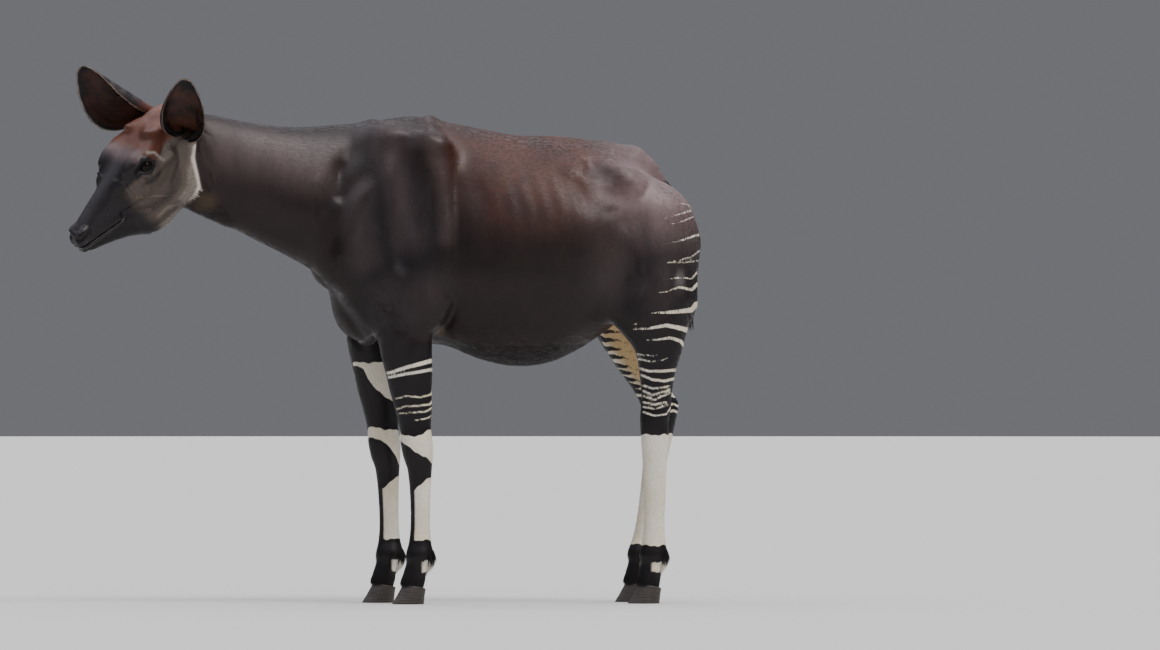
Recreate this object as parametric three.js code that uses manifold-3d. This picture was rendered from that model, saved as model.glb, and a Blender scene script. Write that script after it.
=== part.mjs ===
// A life-size okapi, a grown female, standing on level ground with its head turned a little left.
// Millimetres, +Z up. The animal faces -X and its left side faces -Y. The forms are placed from a
// point on the floor under the middle of the trunk, and the whole is moved at the end.
//
// The living shape is one smooth field made of named forms that flow into each other. Each part
// of the body is the piece of that shape between two thin cuts. Ears, eyes, hooves and the tail
// are made on their own and meet the body face to face.
import * as THREE from 'three';
import { mergeVertices } from 'three/addons/utils/BufferGeometryUtils.js';
import Module from 'manifold-3d';

const wasm = await Module();
wasm.setup();

// Driving dimensions
const GAP = 0.3;
const BACK_WIDEST = 258;
const TRACK_FORE = 122;
const TRACK_HIND = 118;
const FAR_FORE_ADVANCE = 62;
const HEAD_POINT = [-1056, -150, 1495];
const HEAD_TURN = 25.5;
const HEAD_NOD = 42;
const HEAD_ROLL = 19.7;
const NECK_START = [-380, 0, 1180];
const NECK_END = [-1031, -138, 1380];
const NECK_CUT = 135;
const NECK_LEAN = 10;
const POLL_CUT = 19;
const POLL_LEAN = 14;
const FORE_CUT = { top: 800, joint: 455, front: -560, back: -200, inner: 52 };
const HIND_CUT = {
  topLeft: 850, topRight: 800, joint: 500, frontLeft: 285, frontRight: 225, back: 640, inner: 40,
};
const LEG_OUTER = 300;
const LEG_BELOW = 50;
const CORONET = 60;
const CORONET_SLOPE = 0.2;
const EYE_RADIUS = 24;
const EYE_CENTRE = [224, 60, 8];
const EAR_LENGTH = 260;
const EAR_SPREAD = 218;
const EAR_THICKNESS = 4.5;
const EAR_CURVE_BACK = 22;
const HOOF_LENGTH = 98;
const HOOF_WIDTH = 42;
const TAIL_THICKNESS = 27;

// Vectors as plain arrays
const add = (a, b) => [a[0] + b[0], a[1] + b[1], a[2] + b[2]];
const less = (a, b) => [a[0] - b[0], a[1] - b[1], a[2] - b[2]];
const times = (a, s) => [a[0] * s, a[1] * s, a[2] * s];
const dot = (a, b) => a[0] * b[0] + a[1] * b[1] + a[2] * b[2];
const cross = (a, b) => [
  a[1] * b[2] - a[2] * b[1], a[2] * b[0] - a[0] * b[2], a[0] * b[1] - a[1] * b[0],
];
const unit = (a) => times(a, 1 / Math.hypot(...a));
const mix = (a, b, t) => a + (b - a) * t;
const mixPoint = (a, b, t) => a.map((value, i) => mix(value, b[i], t));
const clamp = (value, low, high) => Math.min(Math.max(value, low), high);
const radians = (degrees) => degrees * Math.PI / 180;

// A frame is an origin and three directions, right handed in the order along, side, up.
const frame = (origin, along, side, up) => ({ origin, along, side, up });

function frameTowards(origin, along, roughUp) {
  const forward = unit(along);
  const side = unit(cross(roughUp, forward));
  return frame(origin, forward, side, cross(forward, side));
}

const inFrame = (f, p) => {
  const q = less(p, f.origin);
  return [dot(q, f.along), dot(q, f.side), dot(q, f.up)];
};

const turned = (f, v) => add(add(times(f.along, v[0]), times(f.side, v[1])), times(f.up, v[2]));
const fromFrame = (f, p) => add(f.origin, turned(f, p));

const WORLD = frame([0, 0, 0], [1, 0, 0], [0, 1, 0], [0, 0, 1]);
const UPRIGHT = frame([0, 0, 0], [0, 0, 1], [0, 1, 0], [-1, 0, 0]);
const NECK = frameTowards(NECK_START, less(NECK_END, NECK_START), [0, 0, 1]);
const HEAD = headFrame();

// The head's own frame: along to the nose, side to the animal's left, up out of the forehead.
function headFrame() {
  const turn = radians(HEAD_TURN);
  const nod = radians(HEAD_NOD);
  const roll = radians(HEAD_ROLL);
  const nose = [-Math.cos(turn) * Math.cos(nod), -Math.sin(turn) * Math.cos(nod), -Math.sin(nod)];
  const level = [Math.sin(turn), -Math.cos(turn), 0];
  const upright = cross(nose, level);
  const left = less(times(level, Math.cos(roll)), times(upright, Math.sin(roll)));
  return frame(HEAD_POINT, nose, left, cross(nose, left));
}

// Smooth curves through rows of sizes: the first number of a row is its place.
const TABLE_STEP = 4;

function smoothRows(rows) {
  const last = rows.length - 1;
  const slopes = rows.map((row, i) => {
    const before = rows[Math.max(i - 1, 0)];
    const after = rows[Math.min(i + 1, last)];
    return row.map((_, c) => (after[c] - before[c]) / (after[0] - before[0]));
  });
  const exact = (place) => {
    let i = 0;
    while (i < last - 1 && place > rows[i + 1][0]) i += 1;
    const span = rows[i + 1][0] - rows[i][0];
    const t = clamp((place - rows[i][0]) / span, 0, 1);
    const rise = t * t * (3 - 2 * t);
    const leave = t * (1 - t) * (1 - t) * span;
    const arrive = t * t * (t - 1) * span;
    return rows[i].map((value, c) => (
      mix(value, rows[i + 1][c], rise) + leave * slopes[i][c] + arrive * slopes[i + 1][c]
    ));
  };
  const first = rows[0][0];
  const count = Math.ceil((rows[last][0] - first) / TABLE_STEP);
  const samples = Array.from({ length: count + 1 }, (_, i) => exact(first + i * TABLE_STEP));
  return (place) => {
    const x = clamp((place - first) / TABLE_STEP, 0, count - 1e-6);
    const i = Math.floor(x);
    return mixPoint(samples[i], samples[i + 1], x - i);
  };
}

// About the distance to a rounded section, from offsets already divided by their half sizes.
function rounded(offsets, halves, power) {
  const sums = offsets.map((value) => Math.abs(value) ** power);
  const reach = (sums[0] + sums[1] + sums[2]) ** (1 / power);
  const smallest = Math.min(halves[0], halves[1]);
  if (reach < 0.05) return -smallest;
  const slope = Math.hypot(...offsets.map((value, i) => Math.abs(value) ** (power - 1) / halves[i]))
    * reach ** (1 - power);
  return Math.max((reach - 1) / slope, -smallest);
}

// Forms: each gives about the distance in millimetres to its surface, negative inside it.
// A loft has rows of place, middle up, middle side, half height, half width and narrowing:
// the part by which its width shrinks towards the top and grows towards the bottom.
function loft(f, rows, { blend = 40, cap = 30, endCap = cap, power = 2 } = {}) {
  const table = smoothRows(rows);
  const first = rows[0][0];
  const last = rows[rows.length - 1][0];
  const widest = Math.max(...rows.map((row) => Math.max(row[3] + Math.abs(row[1]),
    row[4] + Math.abs(row[2]))));
  const at = (point) => {
    const p = inFrame(f, point);
    const place = clamp(p[0], first, last);
    const [, up, side, halfUp, halfSide, narrowing = 0] = table(place);
    const above = (p[2] - up) / halfUp;
    const width = halfSide * (1 - narrowing * clamp(above, -1, 1));
    const rounding = p[0] > last ? endCap : cap;
    return rounded([above, (p[1] - side) / width, (p[0] - place) / rounding],
      [halfUp, width, rounding], power);
  };
  return { at, blend, centre: fromFrame(f, [(first + last) / 2, 0, 0]),
    reach: (last - first) / 2 + Math.max(cap, endCap) + widest };
}

function ball(f, centre, radii, { blend = 40 } = {}) {
  const at = (point) => {
    const p = less(inFrame(f, point), centre);
    return rounded(p.map((value, i) => value / radii[i]), radii, 2);
  };
  return { at, blend, centre: fromFrame(f, centre), reach: Math.max(...radii) };
}

// A bar is round with a radius that changes evenly; flat squeezes it from side to side.
function bar(f, from, to, radii, { blend = 40, flat = 1 } = {}) {
  const squeeze = (p) => [p[0], p[1] / flat, p[2]];
  const start = squeeze(from);
  const run = less(squeeze(to), start);
  const runSquared = dot(run, run);
  const at = (point) => {
    const p = less(squeeze(inFrame(f, point)), start);
    const t = clamp(dot(p, run) / runSquared, 0, 1);
    return Math.hypot(...less(p, times(run, t))) - mix(radii[0], radii[1], t);
  };
  const middle = mixPoint(from, to, 0.5);
  return { at, blend, centre: fromFrame(f, middle),
    reach: Math.hypot(...less(to, from)) / 2 + Math.max(...radii) };
}

// Both sides of the body, -1 for its left and 1 for its right; in the head's frame left is 1.
const SIDES = [-1, 1];
const pair = (make) => SIDES.map(make);

// Trunk: place along X, top, bottom, half width, narrowing towards the top
const TRUNK = [
  [-430, 1432, 836, 120, 0.25],
  [-330, 1484, 800, 160, 0.3],
  [-220, 1478, 788, 200, 0.25],
  [-100, 1455, 745, 238, 0.16],
  [0, 1438, 727, 255, 0.1],
  [100, 1436, 738, BACK_WIDEST, 0.08],
  [200, 1427, 783, 248, 0.08],
  [300, 1406, 850, 218, 0.1],
  [400, 1328, 930, 168, 0.12],
  [466, 1218, 1010, 110, 0.1],
];

const trunkRow = ([x, top, bottom, half, narrowing]) => [
  x, (top + bottom) / 2, 0, (top - bottom) / 2, half, narrowing,
];

// Neck: place along its axis, top and bottom above the axis, half width
const NECK_ROWS = [
  [0, 290, -290, 150, 0.1],
  [90, 286, -272, 140, 0.15],
  [160, 260, -240, 128, 0.22],
  [240, 230, -221, 118, 0.2],
  [320, 199, -207, 106, 0.18],
  [400, 173, -195, 96, 0.15],
  [480, 155, -182, 88, 0.12],
  [560, 143, -174, 78, 0.1],
  [640, 134, -164, 70, 0.06],
  [720, 118, -150, 64, 0],
];

const neckRow = ([place, top, bottom, half, narrowing]) => [
  place, (top + bottom) / 2, 0, (top - bottom) / 2, half, narrowing,
];

// Legs: height, middle along X, middle across, half length and half width
const FORE_LEFT = [
  [150, -313, 0, 40, 34],
  [230, -312, 0, 31, 27],
  [330, -312, 0, 32, 27],
  [410, -314, 0, 38, 32],
  [450, -319, 0, 46, 39],
  [490, -323, 0, 50, 42],
  [540, -328, 0, 49, 40],
  [600, -334, 0, 58, 42],
  [654, -342, 0, 66, 46],
  [700, -347, 0, 72, 51],
  [777, -357, 0, 82, 58],
  [900, -365, 0, 92, 66],
];

const HIND_LEFT = [
  [150, 408, 0, 42, 35],
  [230, 410, 0, 33, 27],
  [330, 411, 0, 34, 27],
  [430, 411, 0, 38, 30],
  [500, 411, 0, 43, 36],
  [560, 410, 0, 45, 38],
  [611, 414, 0, 47, 36],
  [654, 416, 0, 49, 38],
  [715, 418, 0, 58, 46],
  [746, 420, 0, 66, 51],
  [792, 422, 0, 78, 59],
  [853, 420, 0, 91, 68],
  [920, 420, 0, 100, 76],
];

const HIND_RIGHT = [
  [150, 407, 0, 42, 35],
  [230, 420, 0, 33, 27],
  [330, 436, 0, 34, 27],
  [430, 450, 0, 38, 30],
  [500, 459, 0, 44, 36],
  [560, 464, 0, 52, 38],
  [611, 464, 0, 60, 36],
  [654, 440, 0, 58, 38],
  [700, 408, 0, 60, 45],
  [746, 384, 0, 68, 51],
  [792, 368, 0, 80, 59],
  [853, 362, 0, 92, 68],
  [920, 372, 0, 100, 76],
];

// The far foreleg stands a little further forward than the near one, more so at the knee.
const FORE_RIGHT = FORE_LEFT.map(([z, x, ...rest]) => [
  z, x - FAR_FORE_ADVANCE - 6 * Math.sin(radians(180 * clamp((z - 150) / 680, 0, 1))), ...rest,
]);

// Turns rows of a leg into loft rows. The leg leans out from its foot to where it meets the body.
function legRows(rows, side, footTrack, bodyTrack, topHeight) {
  return rows.map(([z, x, , halfLength, halfWidth]) => [
    z, -x, side * mix(footTrack, bodyTrack, clamp(z / topHeight, 0, 1)), halfLength, halfWidth,
  ]);
}

const LEGS = [
  { name: 'foreleg', side: -1, rows: FORE_LEFT, toe: -350, body: 132 },
  { name: 'foreleg', side: 1, rows: FORE_RIGHT, toe: -350 - FAR_FORE_ADVANCE, body: 132 },
  { name: 'hindleg', side: -1, rows: HIND_LEFT, toe: 378, body: 146 },
  { name: 'hindleg', side: 1, rows: HIND_RIGHT, toe: 372, body: 146 },
].map((leg) => ({
  ...leg,
  track: leg.name === 'foreleg' ? TRACK_FORE : TRACK_HIND,
  sideName: leg.side < 0 ? 'left' : 'right',
}));

const LEG_TOP = 900;

function legForms() {
  return LEGS.flatMap(({ side, rows, toe, body, track }) => {
    const fetlock = [rows[0][1], side * track, 146];
    return [
      loft(UPRIGHT, legRows(rows, side, track, body, LEG_TOP),
        { blend: 30, cap: 20, endCap: 90, power: 2.2 }),
      bar(WORLD, fetlock, [toe + 14, side * track, 66], [34, 36], { blend: 24, flat: 0.98 }),
      bar(WORLD, add(fetlock, [26, 0, -6]), add(fetlock, [24, 0, -18]), [16, 15], { blend: 22 }),
    ];
  });
}

// Muscles and bones that show through the coat of the trunk
function trunkForms() {
  return [
    loft(WORLD, TRUNK.map(trunkRow), { blend: 70, cap: 34 }),
    ...pair((s) => bar(WORLD, [-405, s * 92, 1400], [-530, s * 118, 1080], [74, 92],
      { blend: 60, flat: 0.72 })),
    ...pair((s) => bar(WORLD, [-285, s * 128, 1370], [-300, s * 152, 1010], [70, 84],
      { blend: 60, flat: 0.62 })),
    ...pair((s) => bar(WORLD, [-520, s * 112, 1040], [-345, s * 140, 905], [92, 88],
      { blend: 60, flat: 0.72 })),
    ball(WORLD, [-478, 0, 925], [92, 122, 120], { blend: 70 }),
    ...pair((s) => ball(WORLD, [352, s * 96, 1192], [122, 88, 118], { blend: 56 })),
    ...pair((s) => bar(WORLD, [414, s * 118, 1154], [360, s * 150, 900], [124, 84],
      { blend: 70, flat: 0.66 })),
    ...pair((s) => bar(WORLD, [464, s * 88, 1092], [463, s * 108, 930], [97, 78],
      { blend: 44, flat: 0.74 })),
    ...pair((s) => ball(WORLD, [488, s * 70, 1160], [30, 30, 36], { blend: 34 })),
    ...pair((s) => ball(WORLD, [300, s * 150, 1300], [56, 30, 40], { blend: 60 })),
    bar(WORLD, [290, 0, 1368], [352, 0, 1375], [28, 27], { blend: 50 }),
    bar(WORLD, [370, 0, 1362], [440, 0, 1296], [26, 24], { blend: 50 }),
  ];
}

function trunkHollows() {
  return [
    ...pair((s) => ball(WORLD, [232, s * 262, 1290], [70, 46, 62], { blend: 70 })),
    bar(WORLD, [500, 0, 1226], [538, 0, 1120], [24, 24], { blend: 20 }),
    bar(WORLD, [538, 0, 1120], [540, 0, 860], [26, 30], { blend: 20 }),
  ];
}

// Head: place towards the nose, top, bottom, half width, narrowing towards the top
const SKULL = [
  [0, 52, -76, 60, 0.1],
  [50, 72, -96, 73, 0.12],
  [100, 78, -108, 79, 0.1],
  [150, 75, -112, 80, 0.06],
  [200, 66, -112, 79, 0.1],
  [250, 54, -108, 70, 0.12],
  [300, 40, -100, 60, 0.12],
  [350, 26, -92, 44, 0.12],
  [400, 13, -85, 37, 0.1],
  [450, -2, -80, 34, 0.04],
  [492, -17, -76, 31, -0.04],
  [510, -29, -70, 26, -0.04],
];

// Lower jaw: place, middle, half height, half width
const JAW = [
  [84, -124, 58, 58],
  [120, -144, 74, 66],
  [180, -158, 83, 70],
  [240, -161, 84, 69],
  [300, -153, 71, 58],
  [366, -131, 48, 42],
  [441, -109, 31, 30],
  [490, -97, 21, 25],
  [512, -91, 14, 20],
];

// Where each ear stands on the head, where it points and where its cup faces, in the head's frame.
// Inner is the way to the middle of the head across the ear.
const EARS = [
  { name: 'left', inner: 1, bow: 14, root: [77, 97, -14], tip: [-0.123, 0.339, 0.933],
    face: [0.85, 0.53, 0.04] },
  { name: 'right', inner: -1, bow: -14, root: [70, -73, 10], tip: [0.205, -0.52, 0.83],
    face: [0.7, 0.67, 0.25] },
];
const EAR_ROOT_SHIFT = 50;
const EAR_ROOT_MIDDLE = 26;
const EAR_BED_DEPTH = 26;
const EAR_PLUG = [18, 24, 25];
const EAR_PLUG_FORWARD = 4;

const earBed = ({ root, tip, face }) => add(root,
  add(times(face, -EAR_ROOT_MIDDLE), times(tip, -EAR_BED_DEPTH)));

function headForms() {
  return [
    loft(HEAD, SKULL.map(trunkRow), { blend: 26, cap: 11, power: 2.3 }),
    loft(HEAD, JAW.map(([x, z, half, width]) => [x, z, 0, half, width]),
      { blend: 22, cap: 14, power: 2.7 }),
    ...pair((s) => ball(HEAD, [146, s * 54, -116], [78, 22, 76], { blend: 28 })),
    ...pair((s) => ball(HEAD, [222, s * 56, 40], [76, 24, 26], { blend: 34 })),
    ...pair((s) => bar(HEAD, [268, s * 58, -26], [136, s * 78, -14], [11, 13], { blend: 18 })),
    ...pair((s) => bar(HEAD, [236, s * 50, 34], [322, s * 40, 4], [20, 14], { blend: 30 })),
    ...pair((s) => bar(HEAD, [140, s * 31, 56], [160, s * 39, 82], [28, 9], { blend: 26 })),
    ...EARS.map((spec) => ball(HEAD, earBed(spec), [40, 32, 38], { blend: 26 })),
    ...pair((s) => ball(HEAD, [503, s * 21, -36], [22, 13, 18], { blend: 14 })),
    ball(HEAD, [499, 0, -50], [28, 26, 21], { blend: 16 }),
    ...pair((s) => bar(HEAD, [520, s * 14, -60], [372, s * 38, -84], [10, 9], { blend: 12 })),
    ...pair((s) => bar(HEAD, [508, s * 12, -84], [372, s * 34, -100], [9, 8], { blend: 12 })),
  ];
}

function headHollows() {
  return [
    ...pair((s) => ball(HEAD, [118, s * 104, 40], [34, 26, 22], { blend: 26 })),
    ...pair((s) => ball(HEAD, [330, s * 84, -44], [56, 20, 22], { blend: 24 })),
  ];
}

const BODY = [
  ...trunkForms(),
  loft(NECK, NECK_ROWS.map(neckRow), { blend: 70, cap: 30 }),
  ...legForms(),
  ...headForms(),
];
const HOLLOWS = [...trunkHollows(), ...headHollows()];

const FAR_AWAY = 400;
const outOfReach = (form, p) => (
  Math.hypot(p[0] - form.centre[0], p[1] - form.centre[1], p[2] - form.centre[2])
    > form.reach + form.blend + 60
);

// The whole living shape at a point: forms joined smoothly, hollows taken away smoothly
function flesh(p) {
  let near = FAR_AWAY;
  for (const form of BODY) {
    if (outOfReach(form, p)) continue;
    const d = form.at(p);
    const overlap = Math.max(form.blend - Math.abs(near - d), 0);
    near = Math.min(near, d) - overlap * overlap / (4 * form.blend);
  }
  for (const hollow of HOLLOWS) {
    if (outOfReach(hollow, p)) continue;
    const d = -hollow.at(p);
    const overlap = Math.max(hollow.blend - Math.abs(near - d), 0);
    near = Math.max(near, d) + overlap * overlap / (4 * hollow.blend);
  }
  return near;
}

// The closed surface of the living shape inside a box of a frame. One point stands in each cell
// that the surface crosses, and one four-sided face crosses each grid line that it cuts.
function wrap({ f, low, high, step }) {
  const cells = low.map((value, i) => Math.round((high[i] - value) / step[i]));
  const size = low.map((value, i) => (high[i] - value) / cells[i]);
  const stride = [(cells[1] + 1) * (cells[2] + 1), cells[2] + 1, 1];
  const place = (i, j, k) => i * stride[0] + j * stride[1] + k;
  const spot = (i, j, k) => [low[0] + i * size[0], low[1] + j * size[1], low[2] + k * size[2]];
  const onEdge = (i, j, k) => [i, j, k].some((value, a) => value === 0 || value === cells[a]);
  const values = new Float64Array((cells[0] + 1) * stride[0]);
  const eachPoint = (extra, visit) => {
    for (let i = 0; i <= cells[0] - extra; i += 1) {
      for (let j = 0; j <= cells[1] - extra; j += 1) {
        for (let k = 0; k <= cells[2] - extra; k += 1) visit(i, j, k);
      }
    }
  };
  eachPoint(0, (i, j, k) => {
    values[place(i, j, k)] = onEdge(i, j, k) ? 1 : flesh(fromFrame(f, spot(i, j, k)));
  });

  const corners = [0, 1, 2, 3, 4, 5, 6, 7].map((c) => [c & 1, (c >> 1) & 1, (c >> 2) & 1]);
  const edges = corners.flatMap((c, i) => [1, 2, 4].filter((bit) => !(i & bit))
    .map((bit) => [c, corners[i | bit]]));
  const points = [];
  const free = [];
  const cellPoint = new Map();
  eachPoint(1, (i, j, k) => {
    const crossings = [];
    for (const [a, b] of edges) {
      const from = values[place(i + a[0], j + a[1], k + a[2])];
      const to = values[place(i + b[0], j + b[1], k + b[2])];
      if (from < 0 !== to < 0) {
        crossings.push(mixPoint(spot(i + a[0], j + a[1], k + a[2]),
          spot(i + b[0], j + b[1], k + b[2]), from / (from - to)));
      }
    }
    if (crossings.length === 0) return;
    const mean = times(crossings.reduce(add), 1 / crossings.length);
    cellPoint.set(place(i, j, k), points.length);
    points.push(fromFrame(f, mean));
    free.push(![i, j, k].some((value, a) => value === 0 || value === cells[a] - 1));
  });

  const faces = [];
  eachPoint(0, (i, j, k) => {
    for (let a = 0; a < 3; a += 1) {
      const index = [i, j, k];
      const b = (a + 1) % 3;
      const c = (a + 2) % 3;
      if (index[a] === cells[a] || index[b] === 0 || index[c] === 0) continue;
      if (index[b] === cells[b] || index[c] === cells[c]) continue;
      const here = values[place(i, j, k)] < 0;
      const next = values[place(i, j, k) + stride[a]] < 0;
      if (here === next) continue;
      const base = place(i, j, k);
      const ring = [base, base - stride[b], base - stride[b] - stride[c], base - stride[c]]
        .map((cell) => cellPoint.get(cell));
      faces.push(here ? ring : ring.reverse());
    }
  });

  const largestMove = Math.min(...size) * 0.5;
  settle(points, faces, free, largestMove);
  return { points, faces };
}

const PROBE = 0.5;

function slopeOf(p) {
  return [0, 1, 2].map((a) => {
    const ahead = [...p];
    const behind = [...p];
    ahead[a] += PROBE;
    behind[a] -= PROBE;
    return (flesh(ahead) - flesh(behind)) / (2 * PROBE);
  });
}

// Moves points onto the surface, evens out their spacing once, and moves them onto it again
function settle(points, faces, free, largestMove) {
  const ontoSurface = (rounds) => {
    points.forEach((point, i) => {
      if (!free[i]) return;
      for (let round = 0; round < rounds; round += 1) {
        const slope = slopeOf(points[i]);
        const move = times(slope, -flesh(points[i]) / Math.max(dot(slope, slope), 0.05));
        const length = Math.hypot(...move);
        points[i] = add(points[i], length > largestMove ? times(move, largestMove / length) : move);
        if (length < 0.02) break;
      }
    });
  };
  const sums = points.map(() => [0, 0, 0, 0]);
  ontoSurface(4);
  faces.forEach((ring) => ring.forEach((v, i) => {
    const next = points[ring[(i + 1) % 4]];
    sums[v][0] += next[0];
    sums[v][1] += next[1];
    sums[v][2] += next[2];
    sums[v][3] += 1;
  }));
  const EVENING = 0.5;
  sums.forEach((sum, i) => {
    if (!free[i]) return;
    points[i] = mixPoint(points[i], times(sum, 1 / sum[3]), EVENING);
  });
  ontoSurface(5);
}

// Solids for cutting and joining
function solidOf(points, triangles) {
  const mesh = new wasm.Mesh({
    numProp: 3,
    vertProperties: Float32Array.from(points.flat()),
    triVerts: Uint32Array.from(triangles.flat()),
  });
  return new wasm.Manifold(mesh);
}

// Four-sided faces become triangles across their shorter diagonal.
function triangulate(points, faces) {
  const apart = (a, b) => Math.hypot(...less(points[a], points[b]));
  return faces.flatMap(([a, b, c, d]) => (
    apart(a, c) <= apart(b, d) ? [[a, b, c], [a, c, d]] : [[a, b, d], [b, c, d]]
  ));
}

function solidFromGeometry(geometry, f = WORLD, centre = [0, 0, 0]) {
  const bare = geometry.clone();
  bare.deleteAttribute('normal');
  bare.deleteAttribute('uv');
  const merged = mergeVertices(bare, 1e-4);
  const positions = merged.getAttribute('position');
  const points = Array.from({ length: positions.count }, (_, i) => (
    fromFrame(f, add(centre, [positions.getX(i), positions.getY(i), positions.getZ(i)]))
  ));
  const index = merged.getIndex();
  const triangles = [];
  for (let i = 0; i < index.count; i += 3) {
    const corner = [index.getX(i), index.getX(i + 1), index.getX(i + 2)];
    if (new Set(corner).size === 3) triangles.push(corner);
  }
  return solidOf(points, triangles);
}

function block(f, low, high) {
  const size = less(high, low);
  return solidFromGeometry(new THREE.BoxGeometry(...size), f, mixPoint(low, high, 0.5));
}

function bodyPiece(region) {
  const { points, faces } = wrap(region);
  return solidOf(points, triangulate(points, faces));
}

// A closed tube of changing, flattened section through a row of points
function sweep(points, radii, sides, { flat = 1, across = [0, 0, 1] } = {}) {
  const count = points.length;
  const ringPoints = [];
  points.forEach((point, i) => {
    const along = unit(less(points[Math.min(i + 1, count - 1)], points[Math.max(i - 1, 0)]));
    const wide = unit(cross(across, along));
    const deep = cross(along, wide);
    for (let s = 0; s < sides; s += 1) {
      const angle = 2 * Math.PI * s / sides;
      ringPoints.push(add(point, add(times(wide, radii[i] * Math.cos(angle)),
        times(deep, radii[i] * flat * Math.sin(angle)))));
    }
  });
  const triangles = [];
  for (let i = 0; i < count - 1; i += 1) {
    for (let s = 0; s < sides; s += 1) {
      const a = i * sides + s;
      const b = i * sides + (s + 1) % sides;
      triangles.push([a, b, b + sides], [a, b + sides, a + sides]);
    }
  }
  const start = ringPoints.length;
  ringPoints.push(points[0], points[count - 1]);
  for (let s = 0; s < sides; s += 1) {
    const next = (s + 1) % sides;
    triangles.push([start, next, s]);
    triangles.push([start + 1, (count - 1) * sides + s, (count - 1) * sides + next]);
  }
  return solidOf(ringPoints, triangles);
}

function largest(solid) {
  const bodies = solid.decompose();
  return bodies.reduce((best, body) => (body.volume() > best.volume() ? body : best));
}

// The eyelids: two tapering folds that meet at the corners of each eye
const LID_HALF_LENGTH = 56;
const LID_UPPER = 36;
const LID_LOWER = -33;
const LID_STEPS = 10;
const LID_ROUNDNESS = 0.8;
const LID_CORNER_THICKNESS = 3.2;
const LID_THICKNESS = { upper: 6, lower: 5 };
const LID_FACES = 7;
const EYE_OUTWARD = [0.2, 1, 0.06];

function lidCurve(side, height) {
  const outward = unit([EYE_OUTWARD[0], side * EYE_OUTWARD[1], EYE_OUTWARD[2]]);
  const back = unit(cross([0, 0, 1], outward));
  const above = cross(outward, back);
  return Array.from({ length: LID_STEPS + 1 }, (_, i) => {
    const across = mix(-1, 1, i / LID_STEPS);
    const lon = radians(LID_HALF_LENGTH * across);
    const lat = radians(height * Math.cos(across * Math.PI / 2) ** LID_ROUNDNESS);
    const direction = add(add(times(outward, Math.cos(lon) * Math.cos(lat)),
      times(back, Math.sin(lon) * Math.cos(lat))), times(above, Math.sin(lat)));
    const centre = [EYE_CENTRE[0], side * EYE_CENTRE[1], EYE_CENTRE[2]];
    return fromFrame(HEAD, add(centre, times(direction, EYE_RADIUS + 2)));
  });
}

function eyelids(side) {
  const lids = [[LID_UPPER, LID_THICKNESS.upper], [LID_LOWER, LID_THICKNESS.lower]];
  return lids.map(([height, thickness]) => {
    const radii = Array.from({ length: LID_STEPS + 1 }, (_, i) => (
      mix(LID_CORNER_THICKNESS, thickness, Math.sin(Math.PI * i / LID_STEPS))
    ));
    return sweep(lidCurve(side, height), radii, LID_FACES, { across: HEAD.up });
  });
}

const EYE_STEPS = { round: 14, down: 9 };

function eyeBall(side, radius) {
  const sphere = new THREE.SphereGeometry(radius, EYE_STEPS.round, EYE_STEPS.down);
  return solidFromGeometry(sphere, HEAD, [EYE_CENTRE[0], side * EYE_CENTRE[1], EYE_CENTRE[2]]);
}

// Nostrils: slanting pockets that narrow towards the back
const NOSTRIL = { front: [530, 22, -38], back: [484, 42, -26], radii: [6, 11, 11, 8, 3], faces: 8 };

function nostril(side) {
  const { front, back, radii, faces } = NOSTRIL;
  const from = [front[0], side * front[1], front[2]];
  const to = [back[0], side * back[1], back[2]];
  const points = radii.map((_, i) => (
    fromFrame(HEAD, mixPoint(from, to, i / (radii.length - 1)))
  ));
  return sweep(points, radii, faces, { across: HEAD.side });
}

// The mouth: a narrow slit between the lips, from the front to the corners
const MOUTH_LINE = [[570, -66], [530, -68], [490, -76], [450, -82], [410, -88], [366, -93]];
const MOUTH_HEIGHT = 2.6;
const MOUTH_CORNER_HEIGHT = 0.8;
const MOUTH_HALF_WIDTH = 80;

function mouthSlit() {
  const shape = new THREE.Shape();
  const corner = MOUTH_LINE.length - 1;
  const halfHeight = (i) => (i < corner ? MOUTH_HEIGHT : MOUTH_CORNER_HEIGHT) / 2;
  const upper = MOUTH_LINE.map(([x, z], i) => [x, z + halfHeight(i)]);
  const lower = MOUTH_LINE.map(([x, z], i) => [x, z - halfHeight(i)]);
  [...upper, ...lower.reverse()].forEach(([x, z], i) => {
    if (i === 0) shape.moveTo(x, z);
    else shape.lineTo(x, z);
  });
  const plate = new THREE.ExtrudeGeometry(shape, { depth: 2 * MOUTH_HALF_WIDTH, bevelEnabled: false });
  const upright = frame(HEAD.origin, HEAD.along, HEAD.up, times(HEAD.side, -1));
  return solidFromGeometry(plate, upright, [0, 0, -MOUTH_HALF_WIDTH]);
}

// Ears: cupped shells that are nearly closed at the root and open and pointed above. The edge
// nearer the middle of the head curls over, the outer edge stays flatter.
const EAR_ROWS = [
  // part of the length, part of the widest spread, outer and inner curl in degrees
  [0, 0.64, 160, 165],
  [0.1, 0.8, 136, 165],
  [0.22, 0.95, 108, 158],
  [0.36, 1, 84, 150],
  [0.52, 0.93, 68, 138],
  [0.68, 0.76, 54, 118],
  [0.83, 0.52, 42, 90],
  [0.94, 0.29, 34, 60],
  [1, 0.08, 28, 40],
];
const EAR_ACROSS = 10;
const EAR_CURL_STEPS = 12;
const INNER_CURL_POWER = 1.7;

function earFrame({ root, tip, face }) {
  const along = unit(tip);
  const facing = unit(less(face, times(along, dot(face, along))));
  const side = cross(facing, along);
  return frame(fromFrame(HEAD, root), turned(HEAD, along), turned(HEAD, side),
    turned(HEAD, facing));
}

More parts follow.
